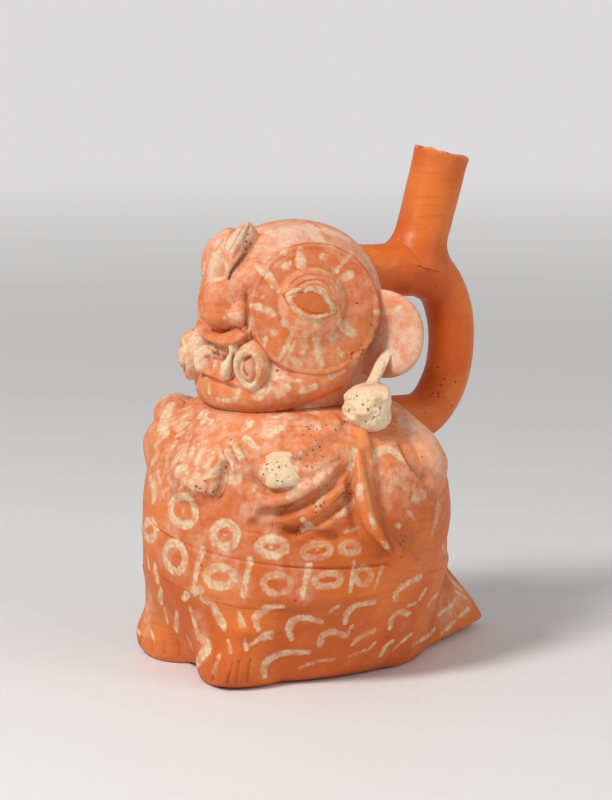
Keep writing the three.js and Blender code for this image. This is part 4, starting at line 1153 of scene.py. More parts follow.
def run_together(points, own, ways):
    """Pushes points out along their ways to the face that the tubes share, with a fillet between them."""
    pushed = np.zeros(points.shape[:-1])
    for _ in range(8):
        p = points + ways * pushed[..., None]
        depths = [-outside(p, *line) for line in tube_lines.values()]
        shared = smooth_max(smooth_max(depths[0], depths[1], handle_fillet), depths[2], spout_fillet)
        pushed = np.clip(pushed + settle_rate * shared, -0.6, settle_most)
    others = [depth for key, depth in zip(tube_lines, depths) if key != own]
    sunk = np.clip(sink_rate * (np.maximum(*others) - depths[list(tube_lines).index(own)]), 0, sink_most)
    return points + ways * (pushed - sunk)[..., None]


def outside(p, centres, radii):
    """Distance from points to the face of a tube given by its centres and radii; below 0 is inside."""
    best = np.full(p.shape[:-1], 1e9)
    for a, b, ra, rb in zip(centres[:-1], centres[1:], radii[:-1], radii[1:]):
        t = np.clip((p - a) @ (b - a) / ((b - a) @ (b - a)), 0, 1)
        far = np.linalg.norm(p - a - t[..., None] * (b - a), axis=-1) - mix(ra, rb, t)
        best = np.minimum(best, far)
    return best


def tube(node, path, outer_radius, inner_radius, length, shift=None, under=()):
    """Circles across a path in the middle plane, outside and in the bore, joined at both ends."""
    rows, columns = 8 * round(length / step / 8), 8 * round(2 * math.pi * 11.5 / step / 8)
    t = np.linspace(0, 1, rows + 1)
    y, z = path(t)
    y0, z0 = path(np.maximum(t - 0.01, 0))
    y1, z1 = path(np.minimum(t + 0.01, 1))
    run = np.hypot(y1 - y0, z1 - z0)
    ty, tz = ((y1 - y0) / run)[:, None], ((z1 - z0) / run)[:, None]
    around = np.linspace(0, -360, columns + 1)

    def ring(radius):
        """The circles for a radius that is one number or a function of the way along."""
        r = radius(t)[:, None] if callable(radius) else np.full((rows + 1, 1), radius)
        up = r * sin(around)
        slide = 0 if shift is None else shift(t[:, None], up, around)
        back, height = y[:, None] - up * tz + slide * ty, z[:, None] + up * ty + slide * tz
        return np.stack([r * cos(around) + 0 * up, back, height], -1)

    outer, inner = ring(outer_radius), ring(inner_radius)
    ways = outer - inner
    ways = ways / np.linalg.norm(ways, axis=-1, keepdims=True)
    outer = run_together(outer, node, ways)
    outer = outer + ways * (tube_unevenness * hand_made(outer + 90))[..., None]
    for end, way in under:
        outer[end] += tuck_reach * way * np.array([0, ty[end, 0], tz[end, 0]]) - tuck_depth * ways[end]
    closed_piece(node, outer, inner[::8, ::8], True, "burnished")


def front_path(t):
    """Level, from inside the head back to the junction."""
    return mix(20, junction_back, t), junction_height + 0 * t


def back_path(t):
    """Half an ellipse from the junction around to the back, then straight into the body."""
    turn = 90 - 180 * np.minimum(1, t / handle_turned)
    straight = 14 * np.maximum(0, (t - handle_turned) / (1 - handle_turned))
    tall = np.where(turn > 0, junction_height - handle_middle, handle_middle - handle_foot)
    out = handle_reach - junction_back
    return junction_back + out * cos(turn) - straight, handle_middle + tall * sin(turn)


def spout_path(t):
    """Straight up from the junction, leaning to the back."""
    along = spout_length * t
    return junction_back + 1 + along * sin(spout_lean), junction_height + along * cos(spout_lean)


def front_tube_radius(t):
    """Flared towards the head, and a little at the junction."""
    return tube_radius + 0.6 * t**4 + 3.0 * np.maximum(0, (0.62 - t) / 0.62) ** 2


def back_tube_radius(t):
    """A little thinner in the middle, and flared towards the body."""
    return tube_radius - 0.6 + 1.2 * (1 - t) ** 4 + 2.6 * np.maximum(0, t - 0.8) ** 0.9


def spout_tube_radius(t):
    """Flared at its foot, straight above, with a trace of a lip."""
    straight = mix(spout_foot, spout_radius, ease(t / 0.3)) + 0.5 * t**8
    return straight + 2.2 * np.maximum(0, (0.28 - t) / 0.28) ** 2


def slanted(end):
    """Slides one end's ring along the tube, so that it lies in the slanting plane of the joint."""
    return lambda t, up, around: np.where(t == end, -junction_slope * up, 0)


rim_chips = [[88, 14, 2], [20, 30, 0.8], [200, 35, 1.4], [300, 22, 1.2]]


def worn_rim(t, up, around):
    """Chips out of the rim, each [direction, half width, depth], fading over the last of the spout."""
    drop = 0
    for way, width, depth in rim_chips:
        away = np.abs((around - way + 540) % 360 - 180)
        drop = drop + depth * np.maximum(0, 1 - (away / width) ** 2)
    edge = np.stack([cos(around) * 12, sin(around) * 12, 0 * around], -1)
    ragged = 0.35 * lattice_noise(edge, 2.2, 9)
    return -(drop + ragged) * np.clip((t - 0.94) / 0.06, 0, 1)


def tube_line(path, radius, count):
    """Centres along a tube and its radius at each."""
    t = np.linspace(0, 1, count)
    y, z = path(t)
    return np.stack([0 * y, y, z], -1), radius(t)


tube_lines = {
    "handle_front_tube": tube_line(front_path, front_tube_radius, 9),
    "handle_back_tube": tube_line(back_path, back_tube_radius, 33),
    "spout": tube_line(spout_path, spout_tube_radius, 9),
}
tube("handle_front_tube", front_path, front_tube_radius, bore_radius, 42, slanted(1))
tube("handle_back_tube", back_path, back_tube_radius, bore_radius, 105, slanted(0), [(0, -1)])
tube("spout", spout_path, spout_tube_radius, spout_bore, spout_length, worn_rim)

# Foot slab: the flat piece of clay that closes the foot of the body, hidden when the vessel stands.
# Its plain shape is right as it is, so it keeps its own solid and gets the clay's finish.
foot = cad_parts["base_slab"]
foot.data.materials.clear()
foot.data.materials.append(finishes["clay"])

# Painting: cream slip put on with a brush, haze from worn slip, dirt, painted shade and pits, and lines cut in
# with a point while the clay was leather hard. Marks are given by their places in the photograph, in pixels,
# and cast on to the clay. Each kind is a layer with one number for every point, read by the clay's finish.
depsgraph = bpy.context.evaluated_depsgraph_get()
trees = {name: BVHTree.FromObject(piece, depsgraph) for name, (piece, _) in made.items()}
eye_point = np.array(camera.location)
pixel_mm = camera_distance / focal_px


def cast(x, y):
    """The place on the clay that the camera sees at a pixel of the photograph, in millimetres."""
    right, up = x - photo_width / 2, photo_height / 2 - y
    way = Vector(-towards_camera * focal_px + camera_right * right + camera_up * up).normalized()
    best, nearest = None, 1e9
    for tree in trees.values():
        place, _, _, far = tree.ray_cast(Vector(eye_point), way, 3.0)
        if place is not None and far < nearest:
            best, nearest = place, far
    return None if best is None else np.array(best) * 1000 - np.array([0, axis_y, 0])


def brushed(stations, count=6):
    """Places along a curve through the stations, [x, y] or [x, y, half width], cast on to the clay."""
    if len(stations) == 1:
        samples = np.array([list(stations[0]) + [0] * (4 - len(stations[0]))], float)
    else:
        samples = spline([list(s) + [0] * (4 - len(s)) for s in stations], count * (len(stations) - 1) + 1)
    places = [cast(x, y) for x, y in samples[:, :2]]
    kept = [(p, w) for p, w in zip(places, samples[:, 2]) if p is not None]
    return np.array([p for p, _ in kept]).reshape(-1, 3), np.array([w for _, w in kept])


def nearest_clay(point):
    """The nearest place on the clay, for marks that the other side of the figure repeats."""
    goal = Vector(to_scene(point))
    best, nearest = None, 1e9
    for tree in trees.values():
        place, _, _, far = tree.find_nearest(goal, 0.02)
        if place is not None and far < nearest:
            best, nearest = place, far
    return point if best is None else np.array(best) * 1000 - np.array([0, axis_y, 0])


names = list(made)
starts = np.cumsum([0] + [len(made[name][1]) for name in names])
clay_points = np.vstack([made[name][1] for name in names])
layer = {key: np.zeros(len(clay_points)) for key in ("power", "haze", "dirt_and_shade", "pits", "cut", "rise")}
hazes = {
    "handle": 0,
    "spout": 0,
    "eye_disc": 0.36,
    "eyelid": 0.6,
    "eye_clay": 0,
    "beak": 0.3,
    "lip": 0.35,
    "jaw": 0.4,
    "fold": 0.35,
}
other_haze, haze_from, haze_fade, bare_slip = 0.5, 60, 35, -3.0


def haze_of(name):
    """How much haze a piece carries, by its name."""
    return min([amount for part, amount in hazes.items() if part in name], default=other_haze)


layer["slip"] = np.full(len(clay_points), bare_slip)
share = np.concatenate([np.full(len(made[name][1]), haze_of(name)) for name in names])
layer["haze"] = share * ease((clay_points[:, 2] - haze_from) / haze_fade)
order = np.argsort(clay_points[:, 2], kind="stable")
heights = clay_points[order, 2]


def near(line, reach):
    """Which points of the clay lie in the box around a line, wider by reach."""
    low, high = line.min(0) - reach, line.max(0) + reach
    slab = order[np.searchsorted(heights, low[2]) : np.searchsorted(heights, high[2])]
    p = clay_points[slab]
    return slab[((p >= low) & (p <= high)).all(1)]


longest_stretch = 6.0


def distance(points, line, widths):
    """Distance to a line of places, less the half width there; the smallest over its short stretches."""
    if len(line) == 1:
        return np.linalg.norm(points - line[0], axis=1) - widths[0]
    best = np.full(len(points), 1e9)
    for a, b, wa, wb in zip(line[:-1], line[1:], widths[:-1], widths[1:]):
        along = b - a
        if along @ along > longest_stretch**2:
            continue
        t = np.clip((points - a) @ along / max(along @ along, 1e-9), 0, 1)
        best = np.minimum(best, np.linalg.norm(points - a - t[:, None] * along, axis=1) - mix(wa, wb, t))
    return best


def mirrored(line):
    """The same line on the other side of the figure."""
    return np.array([nearest_clay(p * [-1, 1, 1]) for p in line])


def lay_slip(line, widths, power):
    """Paints one stroke; its edge is kept as a distance in millimetres, so that it can be roughened."""
    if len(line) == 0:
        return
    which = near(line, widths.max() + 3)
    inside = -distance(clay_points[which], line, widths)
    better = inside > layer["slip"][which]
    which, inside = which[better], inside[better]
    layer["slip"][which] = inside
    layer["power"][which] = power


def slip_marks(marks, half=2.5, power=0.9, both_sides=False, fuller=1.0):
    """Strokes given by places in the photograph; a place may carry its own half width in pixels."""
    for mark in marks:
        stations = [list(m) if len(m) == 3 else [*m, half] for m in mark]
        line, widths = brushed(stations)
        lay_slip(line, widths * pixel_mm * fuller, power)
        if both_sides and len(line):
            lay_slip(mirrored(line), widths * pixel_mm * fuller, power)


def oval(x, y, rx, ry, turn=0.0):
    """Places around an oval in the photograph."""
    around = np.linspace(0, 360, 13)
    a, b = rx * cos(around), ry * sin(around)
    return [(x + p * cos(turn) - q * sin(turn), y + p * sin(turn) + q * cos(turn)) for p, q in zip(a, b)]


def spread(key, marks, half, amount, soft=3.0, both_sides=False):
    """Adds haze, pits, or dirt and painted shade around lines of places, fading out over soft millimetres."""
    for mark in marks:
        stations = [list(m) if len(m) == 3 else [*m, half] for m in mark]
        line, widths = brushed(stations, 8)
        if len(line) == 0:
            continue
        for one in (line, mirrored(line)) if both_sides else (line,):
            which = near(one, widths.max() * pixel_mm + soft)
            far = distance(clay_points[which], one, widths * pixel_mm)
            layer[key][which] = np.maximum(layer[key][which], amount * ease(0.5 - far / soft))


# The tufts and the nose.
tuft_marks = [
    [(215, 259, 1.5), (222, 258, 2), (227, 269, 2.5), (222, 279, 2.5), (215, 279, 2)],
    [(214, 262, 1.5), (213, 270, 1.5)], [(228, 241, 3), (229, 248, 3.5)], [(218, 252, 2)],
    [(246, 219, 1.5), (236, 241, 2)], [(251, 224, 1), (243, 246, 1.5)], [(240, 228, 1), (231, 250, 2)],
    [(205, 262, 1), (201, 285, 1)],
]
slip_marks(tuft_marks)
nose_marks = [[(228, 313, 2), (237, 317, 4)], [(225, 318, 2)]]
slip_marks(nose_marks, power=0.7)

# The eye discs: rays around the lids, with dots between them.
ray_marks = [
    [(300, 247, 2), (300, 256, 4), (301, 264, 5)],
    [(257, 266, 3), (264, 271, 5), (271, 280, 3.5), (278, 290, 2.5)],
    [(252, 306, 3), (262, 308, 3), (273, 314, 3)], [(291, 336, 2), (286, 348, 2.5), (279, 361, 1.5)],
    [(295, 342, 1), (284, 364, 1)], [(315, 339, 3), (318, 352, 3.5), (321, 367, 3)],
    [(338, 321, 3), (344, 326, 5), (353, 334, 4)], [(353, 252, 1.5), (345, 261, 2), (335, 273, 2)],
    [(342, 279, 2.5), (350, 275, 4)],
    [(250, 318, 1.5), (250, 338, 2), (256, 354, 2.5), (269, 369, 2.5), (286, 378, 2), (301, 381, 1.5)],
]
slip_marks(ray_marks, power=0.8, both_sides=True)
disc_dots = [
    [(283, 252, 3.5)], [(324, 257, 4)], [(285, 266, 3), (290, 263, 2)], [(255, 294, 3)], [(262, 297, 1.5)],
    [(274, 333, 3.5)], [(266, 338, 2), (264, 346, 1.5)], [(285, 323, 4)], [(298, 322, 3)], [(293, 333, 3)],
    [(305, 335, 3)], [(317, 326, 3.5)], [(302, 353, 3)], [(294, 360, 3), (298, 364, 4.5)], [(333, 337, 4)],
    [(337, 349, 1.5), (342, 355, 2.5)], [(296, 345, 1.5)], [(332, 246, 1.5)],
]
slip_marks(disc_dots, power=0.75, both_sides=True)

# The ears.
ear_marks = [
    [(376, 312, 2.5), (388, 313, 3), (400, 307, 2)], [(411, 330, 2.5)], [(396, 353, 3.5)], [(393, 358, 2)],
    [(383, 352, 3), (377, 366, 5), (374, 384, 5)],
]
slip_marks(ear_marks, both_sides=True)

# The mouth: lips, teeth, fang and curl, then the jaw and the collar under it.
mouth_marks = [
    [(203, 341, 2), (213, 347, 2.5), (226, 349, 2.5), (240, 345, 3), (250, 345, 2.5)],
    [(211, 349, 3), (213, 353, 2.5)], [(220, 351, 2.5), (223, 354, 2.5)], [(205, 362, 3.5)],
    [(214, 366, 3.5)], [(229, 350, 3.5), (229, 362, 4), (226, 374, 4.5)], [(204, 350, 2), (201, 362, 2.5)],
    [(249, 350, 3.5), (241, 353, 4), (237, 361, 4.5), (239, 371, 4.5), (244, 380, 3.5), (250, 387, 3)],
    [(247, 350, 2.5), (254, 353, 2), (257, 362, 2), (256, 372, 2)],
    [(195, 331, 5), (187, 340, 8), (183, 352, 9), (187, 366, 6)], [(196, 345, 6), (194, 366, 7)],
]
slip_marks(mouth_marks, power=0.8)
chin_marks = [
    [(209, 385, 2.5), (209, 391, 3.5)], [(217, 399, 1.5), (226, 401, 2.5), (235, 399, 2.5), (239, 391, 2)],
    [(210, 403, 2), (215, 405, 1)], [(254, 386, 4), (258, 396, 5.5)], [(262, 394, 3.5), (268, 387, 3)],
    [(268, 383, 3), (273, 377, 4.5), (281, 375, 3.5)], [(278, 395, 3), (288, 388, 3)],
    [(302, 391, 3), (315, 387, 3)], [(330, 377, 3), (345, 369, 2.5)], [(351, 365, 2), (358, 360, 1.5)],
]
slip_marks(chin_marks, power=0.85)

# The chest, the near arm, its cuff and its hand.
chest_marks = [
    [(200, 416, 2.5), (205, 411, 3), (204, 420, 4), (211, 422, 3)], [(224, 427, 2)],
    [(243, 430, 2.5), (250, 423, 4)], [(246, 438, 3.5), (252, 444, 3), (258, 448, 2)], [(267, 433, 5)],
    [(276, 430, 4), (281, 428, 3)], [(283, 414, 4), (289, 417, 3.5)], [(276, 417, 2.5)],
    [(309, 409, 3.5), (316, 413, 4)], [(255, 432, 2)], [(318, 428, 3)], [(300, 452, 2)],
]
slip_marks(chest_marks, power=0.9, fuller=1.15)
arm_marks = [
    [(316, 480, 3), (321, 475, 3.5)], [(290, 496, 2.5), (299, 486, 3)], [(323, 490, 2.5), (318, 508, 3)],
    [(303, 519, 2), (309, 526, 3.5)], [(338, 515, 3), (345, 512, 3.5)], [(327, 482, 1.5)], [(261, 476, 2)],
    [(254, 490, 1.5)], [(300, 530, 1.5), (312, 527, 1.5)], [(255, 486, 1.5)],
    [(345, 532, 1), (357, 529, 1.5)],
]
slip_marks(arm_marks, power=0.75)
cuff_marks = [
    [(267, 457, 2), (280, 457, 3), (297, 461, 2.5)], [(264, 466, 3), (280, 466, 5), (294, 469, 4)],
    [(261, 473, 2.5), (276, 477, 5), (291, 480, 4)], [(272, 483, 2), (287, 486, 2.5)],
]
slip_marks(cuff_marks, power=0.95)
hand_marks = [
    [(230, 441, 2), (236, 446, 3.5), (242, 456, 3)],
    [(217, 446, 1.5), (222, 454, 2.5), (230, 461, 2), (232, 469, 1.5)], [(222, 452, 1.5), (230, 450, 1.5)],
    [(226, 480, 2.5), (234, 480, 4), (239, 477, 3)], [(213, 452, 2)], [(235, 455, 1.5), (240, 459, 1.5)],
    [(246, 470, 1.5)],
]
slip_marks(hand_marks, fuller=1.15)

# The bundle at the middle of the chest, and the far arm and wing beside it.
bundle_marks = [
    [(196, 463, 2), (202, 451, 3)], [(173, 462, 2.5), (183, 457, 4)], [(177, 469, 2.5), (185, 468, 3)],
    [(205, 478, 1.5), (219, 467, 2.5)], [(190, 482, 2), (197, 476, 2.5)], [(211, 492, 2), (219, 481, 1.5)],
    [(178, 489, 1.5), (184, 481, 2)], [(168, 478, 2), (170, 484, 3)], [(203, 491, 2.5)], [(192, 491, 2.5)],
    [(205, 467, 2), (212, 459, 2)], [(190, 455, 2), (193, 447, 2)], [(180, 447, 2), (188, 443, 2)],
    [(171, 450, 2), (176, 442, 2)], [(166, 466, 1.5), (167, 456, 2)], [(215, 476, 1.5), (222, 472, 1.5)],
    [(199, 444, 1.5), (206, 441, 1.5)], [(187, 473, 1.5)], [(197, 469, 2)],
]
slip_marks(bundle_marks, power=0.85, fuller=1.2)
far_arm_marks = [
    [(171, 404, 3.5), (165, 415, 6), (162, 427, 5), (166, 434, 4)], [(173, 381, 2), (181, 382, 2.5)],
    [(160, 392, 2), (158, 402, 2)], [(185, 401, 1.5), (196, 395, 1.5)], [(179, 411, 1.5), (192, 406, 2)],
    [(180, 419, 2), (190, 414, 2.5)], [(178, 429, 2.5), (187, 423, 2)], [(190, 393, 1.5), (197, 386, 1.5)],
    [(166, 386, 1.5), (172, 377, 2)], [(187, 387, 1.5), (193, 378, 2)], [(176, 437, 1.5), (184, 432, 1.5)],
    [(152, 463, 2.5), (157, 456, 2)], [(150, 478, 2.5), (154, 494, 3)], [(158, 473, 1.5), (160, 483, 1.5)],
    [(155, 446, 1.5), (161, 439, 1.5)], [(163, 492, 1.5), (170, 487, 1.5)], [(147, 470, 1.5)],
]
slip_marks(far_arm_marks, power=0.85, fuller=1.2)

# The wings.
wing_marks = [
    [(355, 449, 2), (352, 457, 3), (351, 468, 2)], [(359, 487, 3), (360, 497, 3.5)],
    [(370, 514, 1.5), (374, 527, 2)], [(382, 542, 1.5), (388, 547, 2.5)],
    [(373, 462, 2.5), (378, 452, 3.5), (387, 449, 3.5), (396, 453, 3.5), (405, 462, 2)], [(398, 526, 2.5)],
    [(443, 546, 2), (445, 554, 1.5)], [(381, 473, 2)],
]
slip_marks(wing_marks, both_sides=True, fuller=1.15)
faint_wing_marks = [
    [(389, 491, 2), (393, 484, 3), (400, 482, 3), (407, 489, 2.5)], [(414, 499, 4), (424, 494, 4.5)],
    [(438, 500, 2.5), (436, 520, 3.5), (432, 535, 2)], [(379, 478, 2.5)], [(415, 470, 2), (424, 478, 2)],
    [(408, 512, 2), (414, 518, 2)], [(430, 437, 1.5), (438, 445, 1.5)], [(425, 452, 1), (433, 460, 1)],
]
slip_marks(faint_wing_marks, power=0.45, both_sides=True)

# The skirt.
skirt_marks = [
    [(258, 629, 2), (256, 618, 3), (263, 611, 3), (272, 607, 2.5), (282, 607, 1.5)],
    [(291, 638, 2), (289, 628, 3), (295, 620, 3), (307, 618, 2.5), (321, 622, 2)],
    [(251, 645, 1), (259, 639, 2), (269, 635, 4)],
    [(265, 677, 2), (264, 667, 3), (271, 658, 3), (285, 653, 2.5), (308, 652, 2)],
    [(345, 623, 1.5), (348, 612, 2.5), (357, 605, 2.5), (374, 602, 2)],
    [(396, 600, 2.5), (396, 593, 2), (405, 585, 2.5), (421, 576, 2)],
    [(390, 628, 2), (392, 618, 2.5), (400, 612, 2.5), (409, 614, 2)], [(420, 599, 1.5), (425, 590, 2)],
    [(428, 607, 1.5), (433, 598, 2), (443, 591, 2.5)], [(381, 655, 1.5), (386, 646, 2), (393, 641, 2)],
    [(392, 651, 1), (404, 640, 2), (412, 634, 1.5)], [(414, 644, 1.5), (428, 636, 2.5), (435, 629, 1.5)],
    [(446, 571, 2), (452, 581, 2.5), (461, 589, 2)], [(441, 634, 1), (449, 627, 2), (455, 621, 1)],
    [(438, 615, 1.5), (450, 606, 2), (456, 598, 1)], [(459, 617, 1), (468, 609, 2)],
    [(455, 591, 1.5), (466, 598, 1.5)], [(463, 630, 1), (474, 622, 1)],
]
slip_marks(skirt_marks, power=0.85, both_sides=True, fuller=1.25)
faint_skirt_marks = [
    [(320, 645, 2), (322, 637, 3), (331, 632, 3), (346, 636, 2)],
    [(352, 645, 1.5), (360, 637, 2), (374, 631, 2)], [(300, 668, 1), (315, 662, 1.5), (335, 659, 1)],
    [(366, 652, 1), (375, 643, 1.5)], [(348, 634, 1), (352, 626, 1.5)], [(350, 656, 1), (365, 650, 1)],
    [(408, 606, 1.5), (416, 603, 1.5)], [(330, 612, 1), (338, 606, 1.5)],
]
slip_marks(faint_skirt_marks, power=0.6, both_sides=True, fuller=1.3)

# The feet.
leg_marks = [
    [(193, 591, 4), (201, 590, 3)], [(184, 599, 2.5), (187, 594, 3)], [(203, 599, 3), (212, 603, 3)],
    [(214, 608, 3), (219, 618, 4), (224, 627, 2.5)], [(239, 613, 1.5), (242, 625, 2.5)],
    [(147, 556, 2), (149, 567, 2.5)], [(155, 566, 2.5), (157, 580, 4)], [(161, 589, 2.5), (160, 602, 3)],
    [(177, 613, 2), (176, 630, 3)], [(144, 597, 1), (147, 611, 1.5)],
    [(190, 608, 1.5), (194, 622, 2.5), (198, 638, 2)], [(165, 608, 1), (167, 622, 1.5)],
    [(202, 638, 3), (208, 647, 4.5), (201, 657, 5), (195, 667, 3)], [(219, 656, 2), (214, 673, 2.5)],
    [(149, 627, 1.5), (154, 640, 2)], [(134, 625, 1.5), (140, 634, 1.5)], [(187, 636, 1.5), (192, 648, 2)],
    [(228, 640, 1), (231, 652, 1.5)], [(245, 640, 1), (247, 650, 1)],
]
slip_marks(leg_marks, power=0.9, fuller=1.3)

# The belts: rings with a dot inside, and bars between them.
belt_marks = [
    [(153, 481, 2), (156, 491, 3), (153, 502, 2.5)], oval(183, 511, 12, 14.5, -25), [(183, 511, 1.8)],
    oval(225, 535, 12, 12), [(225, 535, 1.5)], oval(272, 547, 13.5, 8), [(271, 547, 1.5)],
    [(262, 541, 2), (284, 541, 3)], oval(150, 530, 6, 9), oval(175, 557, 10, 14.5, -15),
    oval(220, 577, 14, 9.5, 5), [(203, 549, 3), (199, 562, 3.5), (194, 584, 2.5)],
    [(250, 560, 3.5), (247, 574, 2.5), (243, 596, 2.5)], [(309, 566, 3.5), (306, 579, 2.5), (302, 598, 2)],
    [(354, 562, 1.5), (350, 591, 1.5)],
]
slip_marks(belt_marks, half=4.0)
faint_belt_marks = [
    oval(317, 551, 14, 7, -8), [(317, 550, 1.5)], oval(350, 548, 9, 5), oval(277, 584, 14, 9),
    oval(328, 580, 13, 6.5, -8), oval(363, 576, 8, 8), [(382, 566, 1.5), (375, 588, 1.5)], [(232, 548, 1)],
    [(292, 584, 1.5)],
]
slip_marks(faint_belt_marks, half=3.0, power=0.55)

# The eye is outlined in slip on its raised rim, a thin pale line runs round the disc's rim, and dirt and
# painted shade lie around the lid.
eye_outline, outline_half, rim_line_half, lid_foot, lid_dirt_and_shade = 0.86, 1.45, 0.3, 1.07, 0.55
for side in (1, -1):
    around = np.linspace(0, 360, 49)
    r = eye_outline * almond_radius(around)
    x, y = eye_middle[0] + r * cos(around), eye_middle[1] + r * sin(around)
    lay_slip(disc_point(x, y, disc_face(x, y), side), np.full(49, outline_half), 0.95)
    r = rim_place * disc_radius
    x, y = r * cos(around), r * sin(around)
    lay_slip(disc_point(x, y, disc_face(x, y), side), np.full(49, rim_line_half), 0.25)
    # A ring of painted shade, with some dirt, around the foot of the lid mound.
    around = np.linspace(-60, 240, 41)
    r = lid_foot * mound_radius(around)
    x, y = lid_middle[0] + r * cos(around), lid_middle[1] + r * sin(around)
    line = disc_point(x, y, disc_face(x, y), side)
    which = near(line, 4)
    far = distance(clay_points[which], line, np.full(41, 0.5))
    layer["dirt_and_shade"][which] = np.maximum(layer["dirt_and_shade"][which], lid_dirt_and_shade * ease(0.5 - far / 3.0))

# The spout's rim and the edges of the ears are worn pale.
around = np.linspace(0, 360, 37)
rim_y, rim_z = spout_path(np.array([1.0]))
rim_across, rim_up = (spout_radius + 0.3) * cos(around), (spout_radius + 0.3) * sin(around)
rim = np.stack([rim_across, rim_y - rim_up * cos(spout_lean), rim_z + rim_up * sin(spout_lean)], -1)
lay_slip(rim, np.full(37, 1.1), 0.5)
for side in (1, -1):
    x, y = 0.97 * ear_width * cos(around), 0.97 * ear_tall * sin(around)
    lay_slip(ear_point(x, y, 1.0, side), np.full(37, 0.7), 0.35)

# Around the back the belts carry the same rings and bars, spaced along the bands.
first_ring, last_ring, ring_spacing, lower_shift = 152, 325, 19.0, 9
upper_ring, lower_ring, ring_half, bar_half, bar_gap, back_power = 4.6, 5.0, 1.2, 1.0, 1.5, 0.75
around = np.linspace(0, 360, 13)
for angle in np.arange(first_ring, last_ring, ring_spacing):
    for low, high, ring_size in ((belt_line, belt_top, upper_ring), (belt_low, belt_line, lower_ring)):
        middle = angle + (lower_shift if low is belt_low else 0)
        z = 0.5 * (low(middle) + high(middle))
        u, v = middle + ring_size * cos(around) / body_arc, z + 0.8 * ring_size * sin(around)
        lay_slip(body_surface(u, v), np.full(13, ring_half), back_power)
        if low is belt_low:
            v = np.linspace(low(angle) + bar_gap, high(angle) - bar_gap, 5)
            lay_slip(body_surface(np.full(5, angle), v), np.full(5, bar_half), back_power)

# Haze laid in washes over the crown, the face and the belts, rough places with pits, and dirt and painted
# shade in the creases.
crown_wash = [
    [(262, 228, 9), (285, 232, 11), (310, 228, 10), (340, 235, 9), (362, 252, 8), (376, 275, 7)],
    [(240, 235, 9), (222, 248, 10), (212, 275, 9)], [(196, 300, 5), (190, 322, 5)],
]
pale_wash = [
    [(268, 262, 8), (262, 280, 6)], [(300, 310, 18)], [(285, 290, 14), (320, 280, 12)],
    [(215, 345, 9), (235, 355, 12), (225, 372, 9)], [(395, 320, 12), (392, 350, 9)],
    [(330, 420, 12), (300, 430, 9)], [(365, 370, 12)], [(398, 470, 20), (400, 500, 20)],
    [(200, 620, 8), (205, 650, 12)], [(190, 450, 25)], [(170, 420, 12)], [(345, 340, 12)], [(240, 510, 15)],
    [(150, 600, 12), (145, 630, 10)], [(415, 430, 14)], [(440, 610, 20), (465, 600, 14)],
    [(250, 265, 10), (245, 290, 8)],
]
belt_wash = [
    [(175, 515, 34), (225, 540, 38)], [(160, 545, 22), (185, 570, 26), (225, 580, 28)],
    [(270, 550, 18), (300, 575, 16)],
]
rough_places = [
    [(278, 470, 14)], [(308, 430, 10), (335, 427, 10)], [(318, 448, 9), (308, 466, 9)],
    [(325, 490, 8), (320, 510, 8)], [(365, 405, 20)], [(352, 385, 7), (345, 420, 8)], [(442, 386, 18)],
    [(335, 515, 8)], [(355, 355, 10), (372, 330, 5)], [(205, 490, 10)], [(386, 640, 8)], [(400, 545, 14)],
]
spread("haze", crown_wash, 8, 1.0, 8.0)
spread("haze", pale_wash, 10, 0.42, 7.0)
spread("haze", belt_wash, 10, 0.3, 9.0)
spread("pits", rough_places, 10, 1.0, 5.0)
# Dirt and painted shade: brown darkening between the disc and the ear, beside the nose, under the chin and
# lip, in the chest folds, beside the wing ridges and low on the wing panels, with one dirty blotch on the
# skirt.
dirt_and_shade_places = [
    [(372, 318, 4), (374, 335, 5), (368, 350, 4)], [(246, 290, 2.5), (247, 310, 3), (246, 328, 2)],
    [(210, 407, 2), (240, 411, 3), (280, 407, 3), (310, 400, 3)],
    [(214, 326, 2), (226, 330, 2), (240, 326, 2)], [(300, 457, 3), (318, 448, 3), (340, 434, 2)],
    [(275, 512, 2), (300, 506, 3), (325, 489, 3)], [(305, 530, 3), (330, 533, 4)], [(244, 640, 4)],
    [(222, 476, 2), (220, 490, 2)], [(425, 468, 3), (436, 480, 3)], [(365, 385, 3), (385, 384, 3)],
    [(372, 470, 2), (380, 510, 3), (392, 540, 3)],
]
spread("dirt_and_shade", dirt_and_shade_places, 5, 0.62, 6.0)
spread("dirt_and_shade", [[(398, 540, 14), (415, 548, 14)]], 12, 0.4, 12.0, both_sides=True)
for name, start in zip(names, starts):
    if name.endswith("eye_clay"):
        eyeball = slice(start, start + len(made[name][1]))
        layer["haze"][eyeball] *= 0.2
        layer["dirt_and_shade"][eyeball] = 0.2

